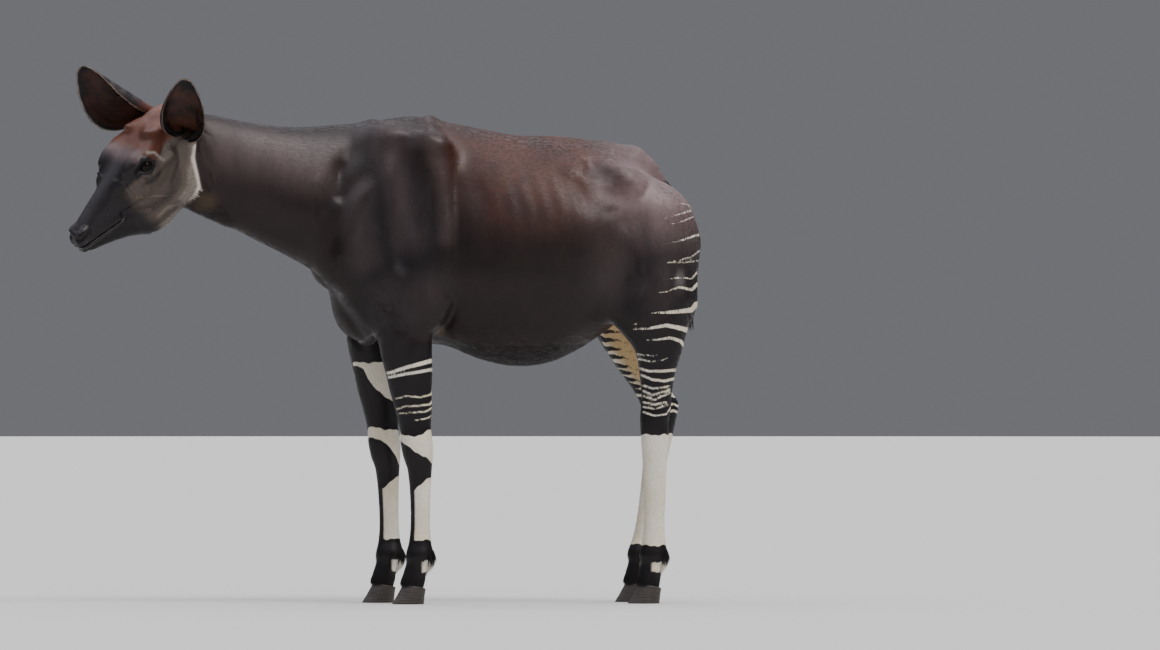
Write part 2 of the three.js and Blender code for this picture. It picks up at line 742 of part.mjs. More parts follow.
// Walks round the curl from the middle of the ear's back: place across, depth and heading
function curlWalk(halfSpread, curl, power, share) {
  let across = 0;
  let depth = 0;
  for (let i = 0; i < EAR_CURL_STEPS; i += 1) {
    const heading = radians(curl) * (share * (i + 0.5) / EAR_CURL_STEPS) ** power;
    across += Math.cos(heading) * halfSpread * share / EAR_CURL_STEPS;
    depth += Math.sin(heading) * halfSpread * share / EAR_CURL_STEPS;
  }
  return [across, depth, radians(curl) * share ** power];
}

// A point of the ear's sheet: which row up it, from outer to inner edge -1 to 1, how far off it
function earPoint({ inner, bow }, [part, spread, outerCurl, innerCurl], share, off) {
  const towards = share < 0 ? -inner : inner;
  const [across, depth, heading] = share < 0
    ? curlWalk(spread * EAR_SPREAD / 2, outerCurl, 1, -share)
    : curlWalk(spread * EAR_SPREAD / 2, innerCurl, INNER_CURL_POWER, share);
  const rootShift = -EAR_ROOT_SHIFT * (1 - part) ** 2;
  return [
    part * EAR_LENGTH,
    towards * (across + off * Math.sin(heading)) + inner * bow * Math.sin(Math.PI * part ** 0.8),
    depth - off * Math.cos(heading) + rootShift - EAR_CURVE_BACK * part * part,
  ];
}

// The shell of an ear; grown a little it is the room the ear needs in the head
function earShell(spec, grow) {
  const f = earFrame(spec);
  const points = [];
  const layers = [EAR_THICKNESS / 2 + grow, -EAR_THICKNESS / 2 - grow];
  const edge = 1 + 4 * grow / EAR_SPREAD;
  layers.forEach((off) => EAR_ROWS.forEach((row) => {
    for (let i = 0; i <= EAR_ACROSS; i += 1) {
      points.push(fromFrame(f, earPoint(spec, row, mix(-edge, edge, i / EAR_ACROSS), off)));
    }
  }));
  const rows = EAR_ROWS.length;
  const at = (layer, row, i) => (layer * rows + row) * (EAR_ACROSS + 1) + i;
  const faces = [];
  for (let row = 0; row < rows - 1; row += 1) {
    for (let i = 0; i < EAR_ACROSS; i += 1) {
      faces.push([at(0, row, i), at(0, row, i + 1), at(0, row + 1, i + 1), at(0, row + 1, i)]);
      faces.push([at(1, row, i), at(1, row + 1, i), at(1, row + 1, i + 1), at(1, row, i + 1)]);
    }
    faces.push([at(0, row, 0), at(0, row + 1, 0), at(1, row + 1, 0), at(1, row, 0)]);
    const e = EAR_ACROSS;
    faces.push([at(0, row, e), at(1, row, e), at(1, row + 1, e), at(0, row + 1, e)]);
  }
  const top = rows - 1;
  for (let i = 0; i < EAR_ACROSS; i += 1) {
    faces.push([at(0, 0, i), at(1, 0, i), at(1, 0, i + 1), at(0, 0, i + 1)]);
    faces.push([at(0, top, i), at(0, top, i + 1), at(1, top, i + 1), at(1, top, i)]);
  }
  const triangles = faces.flatMap(([a, b, c, d]) => (
    spec.inner > 0 ? [[a, b, c], [a, c, d]] : [[a, c, b], [a, d, c]]
  ));
  return solidOf(points, triangles);
}

function makeEar(spec) {
  const f = earFrame(spec);
  const plug = new THREE.SphereGeometry(1, 12, 8);
  plug.scale(...EAR_PLUG);
  return earShell(spec, 0).add(solidFromGeometry(plug, f, [EAR_PLUG_FORWARD, 0, -EAR_ROOT_MIDDLE]))
    .intersect(earBox(f, GAP / 2));
}

const earBox = (f, from) => block(f, [from, -EAR_LENGTH, -EAR_LENGTH],
  [2 * EAR_LENGTH, EAR_LENGTH, EAR_LENGTH]);
const EAR_SEAT = 36;
const earSeat = (spec) => block(earFrame(spec),
  [-GAP / 2, -EAR_SEAT, -EAR_ROOT_MIDDLE - EAR_SEAT],
  [EAR_SEAT, EAR_SEAT, EAR_SEAT - EAR_ROOT_MIDDLE]);

// Hooves: two claws a foot, flat below, with a sloping front and a low heel
const CLAW_OUTLINE = [
  [0, 0.08], [0.08, 0.42], [0.24, 0.78], [0.5, 0.98], [0.76, 0.94], [0.93, 0.66], [1, 0.2],
];

const CLAW_TOE_SLOPE = 0.62;
const CLAW_SHORTENING = 0.52;
const CLAW_NARROWING = 0.05;
const CLAW_INNER_BULGE = 1.2;
// Height and growth of the rings below the coronet, and the growth at the coronet
const CLAW_RINGS = [[0, 0.96], [4, 1], [30, 1]];
const CLAW_TOP_GROWTH = 0.94;

function claw(toe, middle, side, inner) {
  const ring = (height, grow) => {
    const shift = height * CLAW_TOE_SLOPE;
    const length = HOOF_LENGTH - height * CLAW_SHORTENING;
    const width = (HOOF_WIDTH - height * CLAW_NARROWING) * grow;
    const outer = CLAW_OUTLINE.map(([t, w]) => [toe + shift + t * length, w * width]);
    const flatSide = [[toe + shift + length, 0], [toe + shift + 0.5 * length, -CLAW_INNER_BULGE],
      [toe + shift, 0]];
    return [...outer, ...flatSide].map(([x, y]) => [x, middle + side * (inner + y), height]);
  };
  const top = (points) => points.map(([x, y]) => [
    x, y, CORONET - GAP / 2 - CORONET_SLOPE * (x - toe - HOOF_LENGTH * 0.5),
  ]);
  const rings = CLAW_RINGS.map(([height, grow]) => ring(height, grow));
  rings.push(top(ring(CORONET, CLAW_TOP_GROWTH)));
  const count = rings[0].length;
  const points = rings.flat();
  const triangles = [];
  for (let r = 0; r < rings.length - 1; r += 1) {
    for (let i = 0; i < count; i += 1) {
      const a = r * count + i;
      const b = r * count + (i + 1) % count;
      triangles.push([a, b, b + count], [a, b + count, a + count]);
    }
  }
  const capOf = (offset, flip) => {
    for (let i = 1; i < count - 1; i += 1) {
      const corner = [offset, offset + i, offset + i + 1];
      triangles.push(flip ? corner.reverse() : corner);
    }
  };
  capOf(0, true);
  capOf((rings.length - 1) * count, false);
  const facingOut = side > 0 ? triangles.map(([a, b, c]) => [a, c, b]) : triangles;
  return solidOf(points, facingOut);
}

// The tail: a tapering root and stem that hang in the groove between the thighs, with a tuft
const TAIL_LINE = [
  [448, 0, 1318], [476, 0, 1279], [500, 0, 1234], [518, 0, 1180], [530, 0, 1110], [535, 0, 1040],
  [536, 0, 970],
];
const TAIL_STEPS = 12;
const TAIL_END_RADIUS = 6;
const TAIL_TAPER = 0.8;
const TAIL_ROUND = 8;
const TAIL_ROOM_STEPS = 6;
const TUFT_LOCKS = 10;
const TUFT_LENGTH = 124;
const TUFT_TOP = 1010;
const TUFT_SPREAD = 60;
const TURN_BETWEEN_LOCKS = 2.4;
const LOCK_RADII = [6, 7.5, 5.5, 1.2];
const LOCK_PLACES = [0, 0.35, 0.7, 1];
const LOCK_ROOT_OFFSET = 3;
const LOCK_SPREAD = { along: 6, across: 9 };
const LOCK_FLATNESS = 0.5;
const LOCK_FACES = 4;
const LENGTH_VARIATION = 0.2;

function tailTuft() {
  return Array.from({ length: TUFT_LOCKS }, (_, i) => {
    const angle = TURN_BETWEEN_LOCKS * i;
    const root = [TAIL_LINE[TAIL_LINE.length - 1][0], 0, TUFT_TOP - TUFT_SPREAD * i / TUFT_LOCKS];
    const outward = [Math.cos(angle), Math.sin(angle), 0];
    const length = TUFT_LENGTH * (1 - LENGTH_VARIATION + LENGTH_VARIATION * Math.sin(5 * i));
    const points = LOCK_PLACES.map((t) => add(root,
      [outward[0] * (LOCK_ROOT_OFFSET + LOCK_SPREAD.along * t),
        outward[1] * (LOCK_ROOT_OFFSET + LOCK_SPREAD.across * t), -length * t]));
    return sweep(points, LOCK_RADII, LOCK_FACES, { flat: LOCK_FLATNESS, across: outward });
  });
}

// The stem, and a little larger the room it needs in the trunk
function tailStem(extra, steps) {
  const curve = new THREE.CatmullRomCurve3(TAIL_LINE.map((p) => new THREE.Vector3(...p)));
  const points = curve.getPoints(TAIL_STEPS).map((p) => [p.x, p.y, p.z]).slice(0, steps + 1);
  const radii = points.map((_, i) => (
    mix(TAIL_THICKNESS / 2, TAIL_END_RADIUS, (i / TAIL_STEPS) ** TAIL_TAPER) + extra
  ));
  return sweep(points, radii, TAIL_ROUND, { across: [0, 1, 0] });
}

const makeTail = () => tailTuft().reduce((whole, lock) => whole.add(lock),
  tailStem(0, TAIL_STEPS));

// Materials
const material = (color, roughness) => new THREE.MeshStandardMaterial({
  color, roughness, metalness: 0,
});
const COAT = material('#3b2a2a', 0.6);
const FACE = material('#7d6b62', 0.6);
const LEG = material('#c9bfae', 0.65);
const EAR_SKIN = material('#1d1614', 0.6);
const HORN = material('#2b2622', 0.45);
const EYE = material('#0c0a0b', 0.05);

const group = new THREE.Group();

function addPart(name, solid, look) {
  const { numProp, vertProperties, triVerts } = largest(solid).getMesh();
  const geometry = new THREE.BufferGeometry();
  const positions = new Float32Array(vertProperties.length / numProp * 3);
  for (let i = 0; i < positions.length / 3; i += 1) {
    positions.set(vertProperties.subarray(i * numProp, i * numProp + 3), i * 3);
  }
  geometry.setAttribute('position', new THREE.BufferAttribute(positions, 3));
  geometry.setIndex(new THREE.BufferAttribute(Uint32Array.from(triVerts), 1));
  const mesh = new THREE.Mesh(geometry, look);
  mesh.name = name;
  group.add(mesh);
}

// Cuts between head, neck and trunk
const BIG = 900;
function cutFrame(f, place, leanDegrees) {
  const lean = radians(leanDegrees);
  const out = turned(f, [Math.cos(lean), 0, Math.sin(lean)]);
  return frameTowards(fromFrame(f, [place, 0, 0]), out, f.up);
}
const POLL = cutFrame(HEAD, POLL_CUT, POLL_LEAN);
const COLLAR = cutFrame(NECK, NECK_CUT, NECK_LEAN);

function makeHead() {
  let solid = bodyPiece({ f: HEAD, low: [-78, -130, -275], high: [572, 130, 122],
    step: [17.5, 17.5, 17.5] });
  SIDES.forEach((side) => eyelids(side).forEach((lid) => { solid = solid.add(lid); }));
  SIDES.forEach((side) => {
    solid = solid.subtract(eyeBall(side, EYE_RADIUS + GAP)).subtract(nostril(side));
  });
  solid = solid.subtract(mouthSlit());
  EARS.forEach((spec) => {
    solid = solid.subtract(earSeat(spec)).subtract(earShell(spec, GAP));
  });
  return solid.intersect(block(POLL, [GAP / 2, -BIG, -BIG], [BIG, BIG, BIG]));
}

function makeNeck() {
  const solid = bodyPiece({ f: NECK, low: [30, -210, -350], high: [800, 210, 350],
    step: [44, 37, 39] });
  return solid.intersect(block(COLLAR, [GAP / 2, -BIG, -BIG], [BIG, BIG, BIG]))
    .intersect(block(POLL, [-BIG, -BIG, -BIG], [-GAP / 2, BIG, BIG]));
}

// A leg's space below the trunk; grow makes it larger at its top only
function legSpace({ side, name }, grow) {
  const fore = name === 'foreleg';
  const hindTop = side < 0 ? HIND_CUT.topLeft : HIND_CUT.topRight;
  const hindFront = side < 0 ? HIND_CUT.frontLeft : HIND_CUT.frontRight;
  const top = (fore ? FORE_CUT.top : hindTop) + grow;
  const front = fore ? FORE_CUT.front : hindFront;
  const { back, inner } = fore ? FORE_CUT : HIND_CUT;
  return block(WORLD, [front, side < 0 ? -LEG_OUTER : inner, -LEG_BELOW],
    [back, side < 0 ? -inner : LEG_OUTER, top]);
}

function makeTorso() {
  let solid = bodyPiece({ f: WORLD, low: [-760, -340, 660], high: [660, 340, 1540],
    step: [49, 44, 50] });
  solid = solid.subtract(block(COLLAR, [-GAP / 2, -BIG, -BIG], [BIG, BIG, BIG]));
  LEGS.forEach((leg) => { solid = solid.subtract(legSpace(leg, GAP / 2)); });
  return solid.subtract(tailStem(GAP, TAIL_ROOM_STEPS));
}

const LEG_ROOM = { front: 130, back: 140, inner: 20, outer: 260, above: 60, below: 40, floor: 20 };
const CLAW_FROM_MIDDLE = 1.6;

function makeLeg(leg) {
  const fore = leg.name === 'foreleg';
  const joint = fore ? FORE_CUT.joint : HIND_CUT.joint;
  const xs = leg.rows.map((row) => row[1]);
  const front = Math.min(...xs, leg.toe) - LEG_ROOM.front;
  const back = Math.max(...xs) + LEG_ROOM.back;
  const { inner, outer } = LEG_ROOM;
  const low = [front, leg.side < 0 ? -outer : inner];
  const high = [back, leg.side < 0 ? -inner : outer];
  const upper = bodyPiece({ f: WORLD, low: [...low, joint - LEG_ROOM.above],
    high: [...high, LEG_TOP], step: [26, 24, 38] });
  const lower = bodyPiece({ f: WORLD, low: [...low, LEG_ROOM.floor],
    high: [...high, joint + LEG_ROOM.below], step: [19, 17, 30] });
  const space = legSpace(leg, -GAP / 2);
  const slope = Math.atan(CORONET_SLOPE);
  const footFrame = frame([leg.toe, 0, CORONET],
    [Math.cos(slope), 0, -Math.sin(slope)], [0, 1, 0], [Math.sin(slope), 0, Math.cos(slope)]);
  const name = `${leg.name}_upper_${leg.sideName}`;
  addPart(name, upper.intersect(space)
    .intersect(block(WORLD, [-BIG, -BIG, joint + GAP / 2], [BIG, BIG, BIG])), LEG);
  addPart(`${leg.name}_lower_${leg.sideName}`, lower
    .intersect(block(WORLD, [-BIG, -BIG, -10], [BIG, BIG, joint - GAP / 2]))
    .intersect(block(footFrame, [-BIG, -BIG, GAP / 2], [BIG, BIG, BIG])), LEG);
  const limb = leg.name === 'foreleg' ? 'fore' : 'hind';
  SIDES.forEach((clawSide) => {
    const place = clawSide === leg.side ? 'outer' : 'inner';
    addPart(`hoof_${limb}_${leg.sideName}_${place}`,
      claw(leg.toe - HOOF_LENGTH * 0.5, leg.side * leg.track, clawSide, CLAW_FROM_MIDDLE), HORN);
  });
}

addPart('head', makeHead(), FACE);
EARS.forEach((spec) => {
  addPart(`ear_${spec.name}`, makeEar(spec), EAR_SKIN);
});
SIDES.forEach((side) => {
  addPart(`eye_${side > 0 ? 'left' : 'right'}`, eyeBall(side, EYE_RADIUS), EYE);
});
addPart('neck', makeNeck(), COAT);
addPart('torso', makeTorso(), COAT);
LEGS.forEach(makeLeg);
addPart('tail', makeTail(), COAT);

// The origin goes to the floor under the middle of the whole
const bounds = new THREE.Box3().setFromObject(group);
const middle = bounds.getCenter(new THREE.Vector3());
group.children.forEach((mesh) => mesh.geometry.translate(-middle.x, -middle.y, -bounds.min.z));

export default group;
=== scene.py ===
import math

import bpy
import numpy as np
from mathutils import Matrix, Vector


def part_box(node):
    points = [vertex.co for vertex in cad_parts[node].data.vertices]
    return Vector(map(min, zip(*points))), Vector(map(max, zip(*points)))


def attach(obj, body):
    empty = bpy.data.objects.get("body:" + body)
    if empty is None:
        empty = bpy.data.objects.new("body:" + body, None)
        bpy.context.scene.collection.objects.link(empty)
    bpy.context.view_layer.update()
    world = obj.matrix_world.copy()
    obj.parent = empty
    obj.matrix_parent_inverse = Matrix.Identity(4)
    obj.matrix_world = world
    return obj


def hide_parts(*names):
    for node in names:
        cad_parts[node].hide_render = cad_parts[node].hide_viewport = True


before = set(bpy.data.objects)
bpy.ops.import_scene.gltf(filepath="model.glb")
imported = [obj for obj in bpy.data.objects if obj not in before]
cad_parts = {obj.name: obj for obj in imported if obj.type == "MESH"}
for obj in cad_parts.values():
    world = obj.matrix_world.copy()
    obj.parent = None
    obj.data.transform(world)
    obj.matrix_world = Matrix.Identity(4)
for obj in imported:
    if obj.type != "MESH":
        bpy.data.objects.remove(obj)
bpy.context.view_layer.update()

THIN = 1
rng = np.random.default_rng(20)

# Sizes shared with the solids
TRACK_FORE = 122
TRACK_HIND = 118
FAR_FORE_ADVANCE = 62
CORONET = 60
CORONET_SLOPE = 0.2
EYE_RADIUS = 24
EYE_CENTRE = (224, 60, 8)
EAR_LENGTH = 260
EAR_SPREAD = 218
EAR_CURVE_BACK = 22
EAR_ROOT_SHIFT = 50
HOOF_LENGTH = 98
HOOF_WIDTH = 42
FORE_TOE = -350
HIND_TOE = 378
FAR_HIND_TOE = 372
BODY_FORE = 132
BODY_HIND = 146
FETLOCK = 146
# The lowest height in the legs' tables, and the height where a leg's middle joins the trunk
LEG_FOOT = 150
LEG_TOP = 900
# How far the far foreleg bows forwards, and over what height
FAR_FORE_BOW = 6
FAR_FORE_BOW_HEIGHT = 680
# Where the neck and the head start, the way the neck runs, and the head's angles in degrees
NECK_POINT = (-380, 0, 1180)
NECK_WAY = (-651, -138, 200)
HEAD_POINT = (-1056, -150, 1495)
HEAD_TURN = 25.5
HEAD_NOD = 42
HEAD_ROLL = 19.7
SIDES = (-1, 1)


def arr(*values):
    return np.array(values, float)


def unit(v):
    v = np.asarray(v, float)
    return v / np.linalg.norm(v, axis=-1, keepdims=True)


def mix(a, b, t):
    return a + (b - a) * t


def smooth(low, high, value):
    t = np.clip((value - low) / (high - low), 0, 1)
    return t * t * (3 - 2 * t)


def norms(v):
    return np.linalg.norm(v, axis=1)


def dots(a, b):
    return np.einsum("ij,ij->i", a, b)


def flattened(v, normal):
    """v without its part along normal"""
    return v - dots(v, normal)[:, None] * normal


class Place:
    """An origin and three directions: along, side, up"""

    def __init__(self, origin, along, side, up):
        self.origin = np.asarray(origin, float)
        self.axes = np.array([along, side, up], float)

    def inside(self, p):
        return (p - self.origin) @ self.axes.T

    def out(self, q):
        return self.origin + np.asarray(q, float) @ self.axes

    def turned(self, v):
        return np.asarray(v, float) @ self.axes


def place_towards(origin, along, rough_up):
    forward = unit(along)
    side = unit(np.cross(rough_up, forward))
    return Place(origin, forward, side, np.cross(forward, side))


def head_place():
    turn, nod, roll = (math.radians(v) for v in (HEAD_TURN, HEAD_NOD, HEAD_ROLL))
    nose = arr(-math.cos(turn) * math.cos(nod), -math.sin(turn) * math.cos(nod), -math.sin(nod))
    level = arr(math.sin(turn), -math.cos(turn), 0)
    left = level * math.cos(roll) - np.cross(nose, level) * math.sin(roll)
    return Place(HEAD_POINT, nose, left, np.cross(nose, left))


WORLD = Place((0, 0, 0), (1, 0, 0), (0, 1, 0), (0, 0, 1))
UPRIGHT = Place((0, 0, 0), (0, 0, 1), (0, 1, 0), (-1, 0, 0))
NECK = place_towards(NECK_POINT, NECK_WAY, (0, 0, 1))
HEAD = head_place()
HEAD_MIDDLE = HEAD.out((250, 0, -50))
# Distances from the head's middle within which the face and the whole head lie
FACE_REACH = 340
HEAD_REACH = 420


def from_head(p):
    return norms(p - HEAD_MIDDLE)


# Forms: about the distance in millimetres to a surface, negative inside
TABLE_STEP = 4


def smooth_rows(rows):
    rows = np.array(rows, float)
    last = len(rows) - 1
    slopes = np.array([(rows[min(i + 1, last)] - rows[max(i - 1, 0)])
                       / (rows[min(i + 1, last), 0] - rows[max(i - 1, 0), 0])
                       for i in range(last + 1)])
    count = math.ceil((rows[last, 0] - rows[0, 0]) / TABLE_STEP)
    places = rows[0, 0] + TABLE_STEP * np.arange(count + 1)
    i = np.minimum(np.searchsorted(rows[1:, 0], places), last - 1)
    span = (rows[i + 1, 0] - rows[i, 0])[:, None]
    t = np.clip((places - rows[i, 0])[:, None] / span, 0, 1)
    samples = (mix(rows[i], rows[i + 1], t * t * (3 - 2 * t))
               + t * (1 - t) ** 2 * span * slopes[i] + t * t * (t - 1) * span * slopes[i + 1])
    return lambda place: [np.interp(place, places, samples[:, c])
                          for c in range(1, rows.shape[1])]


def power_of(value, power):
    return value * value if power == 2 else np.power(value, power)


def rounded(offsets, halves, power):
    offsets = [np.abs(o) for o in offsets]
    reach = sum(power_of(o, power) for o in offsets) ** (1 / power)
    smallest = np.minimum(halves[0], halves[1])
    slope = np.sqrt(sum((np.power(o, power - 1) / h) ** 2 for o, h in zip(offsets, halves)))
    safe = np.maximum(reach, 0.05)
    slope = np.maximum(slope * safe ** (1 - power), 1e-9)
    d = np.maximum((reach - 1) / slope, -smallest)
    return np.where(reach < 0.05, -smallest, d)


class Form:
    def __init__(self, at, blend, centre, reach):
        self.at, self.blend, self.centre, self.reach = at, blend, centre, reach


def loft(f, rows, blend=40, cap=30, end_cap=None, power=2):
    table = smooth_rows(rows)
    first, last = rows[0][0], rows[-1][0]
    widest = max(max(row[3] + abs(row[1]), row[4] + abs(row[2])) for row in rows)
    end_cap = end_cap or cap

    def at(p):
        q = f.inside(p)
        place = np.clip(q[:, 0], first, last)
        up, side, half_up, half_side, narrowing = table(place)
        above = (q[:, 2] - up) / half_up
        width = half_side * (1 - narrowing * np.clip(above, -1, 1))
        rounding = np.where(q[:, 0] > last, end_cap, cap)
        return rounded([above, (q[:, 1] - side) / width, (q[:, 0] - place) / rounding],
                       [half_up, width, rounding], power)

    middle = f.out(((first + last) / 2, 0, 0))
    return Form(at, blend, middle, (last - first) / 2 + max(cap, end_cap) + widest)


def ball(f, centre, radii, blend=40):
    def at(p):
        q = f.inside(p) - centre
        return rounded([q[:, i] / radii[i] for i in range(3)], radii, 2)

    return Form(at, blend, f.out(centre), max(radii))


def bar(f, start, end, radii, blend=40, flat=1):
    squeeze = arr(1, 1 / flat, 1)
    a = np.asarray(start, float) * squeeze
    run = np.asarray(end, float) * squeeze - a

    def at(p):
        q = f.inside(p) * squeeze - a
        t = np.clip(q @ run / (run @ run), 0, 1)
        return norms(q - t[:, None] * run) - mix(radii[0], radii[1], t)

    length = np.linalg.norm(np.subtract(end, start))
    return Form(at, blend, f.out(np.add(start, end) / 2), length / 2 + max(radii))


def bars(f, start, end, radii, **form):
    """A bar on either side"""
    return [bar(f, np.multiply(start, (1, s, 1)), np.multiply(end, (1, s, 1)), radii, **form)
            for s in SIDES]


def balls(f, centre, radii, **form):
    """A ball on either side"""
    return [ball(f, np.multiply(centre, (1, s, 1)), radii, **form) for s in SIDES]


# The trunk: place along X, top, bottom, half width, and how much narrower it is above
TRUNK = [
    (-430, 1432, 836, 120, 0.25), (-330, 1484, 800, 160, 0.3), (-220, 1478, 788, 200, 0.25),
    (-100, 1455, 745, 238, 0.16), (0, 1438, 727, 255, 0.1), (100, 1436, 738, 258, 0.08),
    (200, 1427, 783, 248, 0.08), (300, 1406, 850, 218, 0.1), (400, 1328, 930, 168, 0.12),
    (466, 1218, 1010, 110, 0.1),
]
# The neck in its own frame, in the same form
NECK_ROWS = [
    (0, 290, -290, 150, 0.1), (90, 286, -272, 140, 0.15), (160, 260, -240, 128, 0.22),
    (240, 230, -221, 118, 0.2), (320, 199, -207, 106, 0.18), (400, 173, -195, 96, 0.15),
    (480, 155, -182, 88, 0.12), (560, 143, -174, 78, 0.1), (640, 134, -164, 70, 0.06),
    (720, 118, -150, 64, 0),
]
# The legs: height, place along X, half length and half width
FORE_LEFT = [
    (150, -313, 40, 34), (230, -312, 31, 27), (330, -312, 32, 27), (410, -314, 38, 32),
    (450, -319, 46, 39), (490, -323, 50, 42), (540, -328, 49, 40), (600, -334, 58, 42),
    (654, -342, 66, 46), (700, -347, 72, 51), (777, -357, 82, 58), (900, -365, 92, 66),
]
HIND_LEFT = [
    (150, 408, 42, 35), (230, 410, 33, 27), (330, 411, 34, 27), (430, 411, 38, 30),
    (500, 411, 43, 36), (560, 410, 45, 38), (611, 414, 47, 36), (654, 416, 49, 38),
    (715, 418, 58, 46), (746, 420, 66, 51), (792, 422, 78, 58), (853, 420, 91, 63),
    (920, 420, 100, 64),
]
HIND_RIGHT = [
    (150, 407, 42, 35), (230, 420, 33, 27), (330, 436, 34, 27), (430, 450, 38, 30),
    (500, 459, 44, 36), (560, 464, 52, 38), (611, 464, 60, 36), (654, 440, 58, 38),
    (700, 408, 60, 45), (746, 384, 68, 51), (792, 368, 80, 58), (853, 362, 92, 63),
    (920, 372, 100, 64),
]


def bow_of(z):
    up = min(max((z - LEG_FOOT) / FAR_FORE_BOW_HEIGHT, 0), 1)
    return FAR_FORE_BOW * math.sin(math.pi * up)


FORE_RIGHT = [(z, x - FAR_FORE_ADVANCE - bow_of(z), *rest) for z, x, *rest in FORE_LEFT]


def leg_of(name, side, rows, toe, track, body):
    """A leg whose middle goes from track, at the foot, to body, where it joins the trunk"""
    return {"name": name, "side": side, "side_name": "left" if side < 0 else "right",
            "rows": rows, "table": smooth_rows(rows), "toe": toe, "track": track, "body": body}


LEGS = [
    leg_of("foreleg", -1, FORE_LEFT, FORE_TOE, TRACK_FORE, BODY_FORE),
    leg_of("foreleg", 1, FORE_RIGHT, FORE_TOE - FAR_FORE_ADVANCE, TRACK_FORE, BODY_FORE),
    leg_of("hindleg", -1, HIND_LEFT, HIND_TOE, TRACK_HIND, BODY_HIND),
    leg_of("hindleg", 1, HIND_RIGHT, FAR_HIND_TOE, TRACK_HIND, BODY_HIND),
]


def leg_middle(leg, z):
    """Place along Y of the middle of a leg"""
    return leg["side"] * mix(leg["track"], leg["body"], np.minimum(z / LEG_TOP, 1))


def tube_rows(rows):
    return [(x, (top + bottom) / 2, 0, (top - bottom) / 2, half, narrowing)
            for x, top, bottom, half, narrowing in rows]


def leg_forms():
    forms = []
    for leg in LEGS:
        toe, y = leg["toe"], leg["side"] * leg["track"]
        rows = [(z, -x, leg_middle(leg, z), long, wide, 0) for z, x, long, wide in leg["rows"]]
        blend = 70 if leg["name"] == "hindleg" else 30
        fetlock = arr(leg["rows"][0][1], y, FETLOCK)
        forms += [
            loft(UPRIGHT, rows, blend=blend, cap=20, end_cap=90, power=2.2),
            bar(WORLD, fetlock, (toe + 14, y, 66), (34, 36), blend=24, flat=0.98),
            bar(WORLD, fetlock + (26, 0, -6), fetlock + (24, 0, -18), (16, 15), blend=22),
        ]
    return forms


def trunk_forms():
    return [
        loft(WORLD, tube_rows(TRUNK), blend=70, cap=34),
        *bars(WORLD, (-405, 92, 1400), (-530, 118, 1080), (74, 92), blend=60, flat=0.72),
        *bars(WORLD, (-285, 128, 1370), (-300, 152, 1010), (70, 84), blend=60, flat=0.62),
        *bars(WORLD, (-520, 112, 1040), (-345, 140, 905), (92, 88), blend=60, flat=0.72),
        ball(WORLD, (-478, 0, 925), (92, 122, 120), blend=70),
        *balls(WORLD, (352, 96, 1192), (122, 88, 118), blend=56),
        *bars(WORLD, (414, 118, 1154), (360, 150, 900), (124, 84), blend=70, flat=0.66),
        *bars(WORLD, (464, 88, 1092), (463, 108, 930), (97, 78), blend=44, flat=0.74),
        *balls(WORLD, (488, 70, 1160), (30, 30, 36), blend=34),
        *balls(WORLD, (300, 150, 1300), (56, 30, 40), blend=60),
        bar(WORLD, (285, 0, 1372), (345, 0, 1361), (28, 27), blend=50),
        bar(WORLD, (345, 0, 1361), (402, 0, 1334), (27, 25), blend=55),
        bar(WORLD, (370, 0, 1362), (440, 0, 1296), (26, 24), blend=50),
    ]


# The skull from the neck to the nose: place, top, bottom, half width, how much narrower above
SKULL = [
    (0, 52, -76, 60, 0.1), (50, 72, -96, 73, 0.12), (100, 78, -108, 79, 0.1),
    (150, 75, -112, 80, 0.06), (200, 66, -112, 79, 0.1), (250, 54, -108, 70, 0.12),
    (300, 40, -100, 60, 0.12), (350, 26, -92, 44, 0.12), (400, 13, -85, 37, 0.1),
    (450, -2, -80, 34, 0.04), (492, -17, -76, 31, -0.04), (510, -29, -70, 26, -0.04),
]
# The jaw: place, height of its middle, half height and half width
JAW = [
    (84, -124, 58, 58), (120, -144, 74, 66), (180, -158, 83, 70), (240, -161, 84, 69),
    (300, -153, 71, 58), (366, -131, 48, 42), (441, -109, 31, 30), (490, -97, 21, 25),
    (512, -91, 14, 20),
]
# The ears in the head's frame: the root, the way to the tip, the way the cup faces, how far the
# ear bows sideways, and the side of its inner edge
EARS = [
    {"name": "left", "inner": 1, "bow": 14, "root": arr(77, 97, -14),
     "tip": arr(-0.123, 0.339, 0.933), "face": arr(0.85, 0.53, 0.04)},
    {"name": "right", "inner": -1, "bow": -14, "root": arr(70, -73, 10),
     "tip": arr(0.205, -0.52, 0.83), "face": arr(0.7, 0.67, 0.25)},
]


def head_forms():
    return [
        loft(HEAD, tube_rows(SKULL), blend=26, cap=11, power=2.3),
        loft(HEAD, [(x, z, 0, half, width, 0) for x, z, half, width in JAW],
             blend=22, cap=14, power=2.7),
        *balls(HEAD, (146, 54, -116), (78, 22, 76), blend=28),
        *balls(HEAD, (222, 56, 40), (76, 24, 26), blend=34),
        *bars(HEAD, (268, 58, -26), (136, 78, -14), (11, 13), blend=18),
        *bars(HEAD, (236, 50, 34), (322, 40, 4), (20, 14), blend=30),
        *bars(HEAD, (140, 31, 56), (160, 39, 82), (28, 9), blend=26),
        *[ball(HEAD, e["root"] - 26 * e["face"] - 26 * e["tip"], (40, 32, 38), blend=26)
          for e in EARS],
        *balls(HEAD, (503, 21, -36), (22, 13, 18), blend=14),
        ball(HEAD, (499, 0, -50), (28, 26, 21), blend=16),
        *bars(HEAD, (520, 14, -60), (376, 36, -80), (10, 7), blend=18),
        *bars(HEAD, (508, 12, -84), (372, 34, -100), (9, 8), blend=16),
    ]


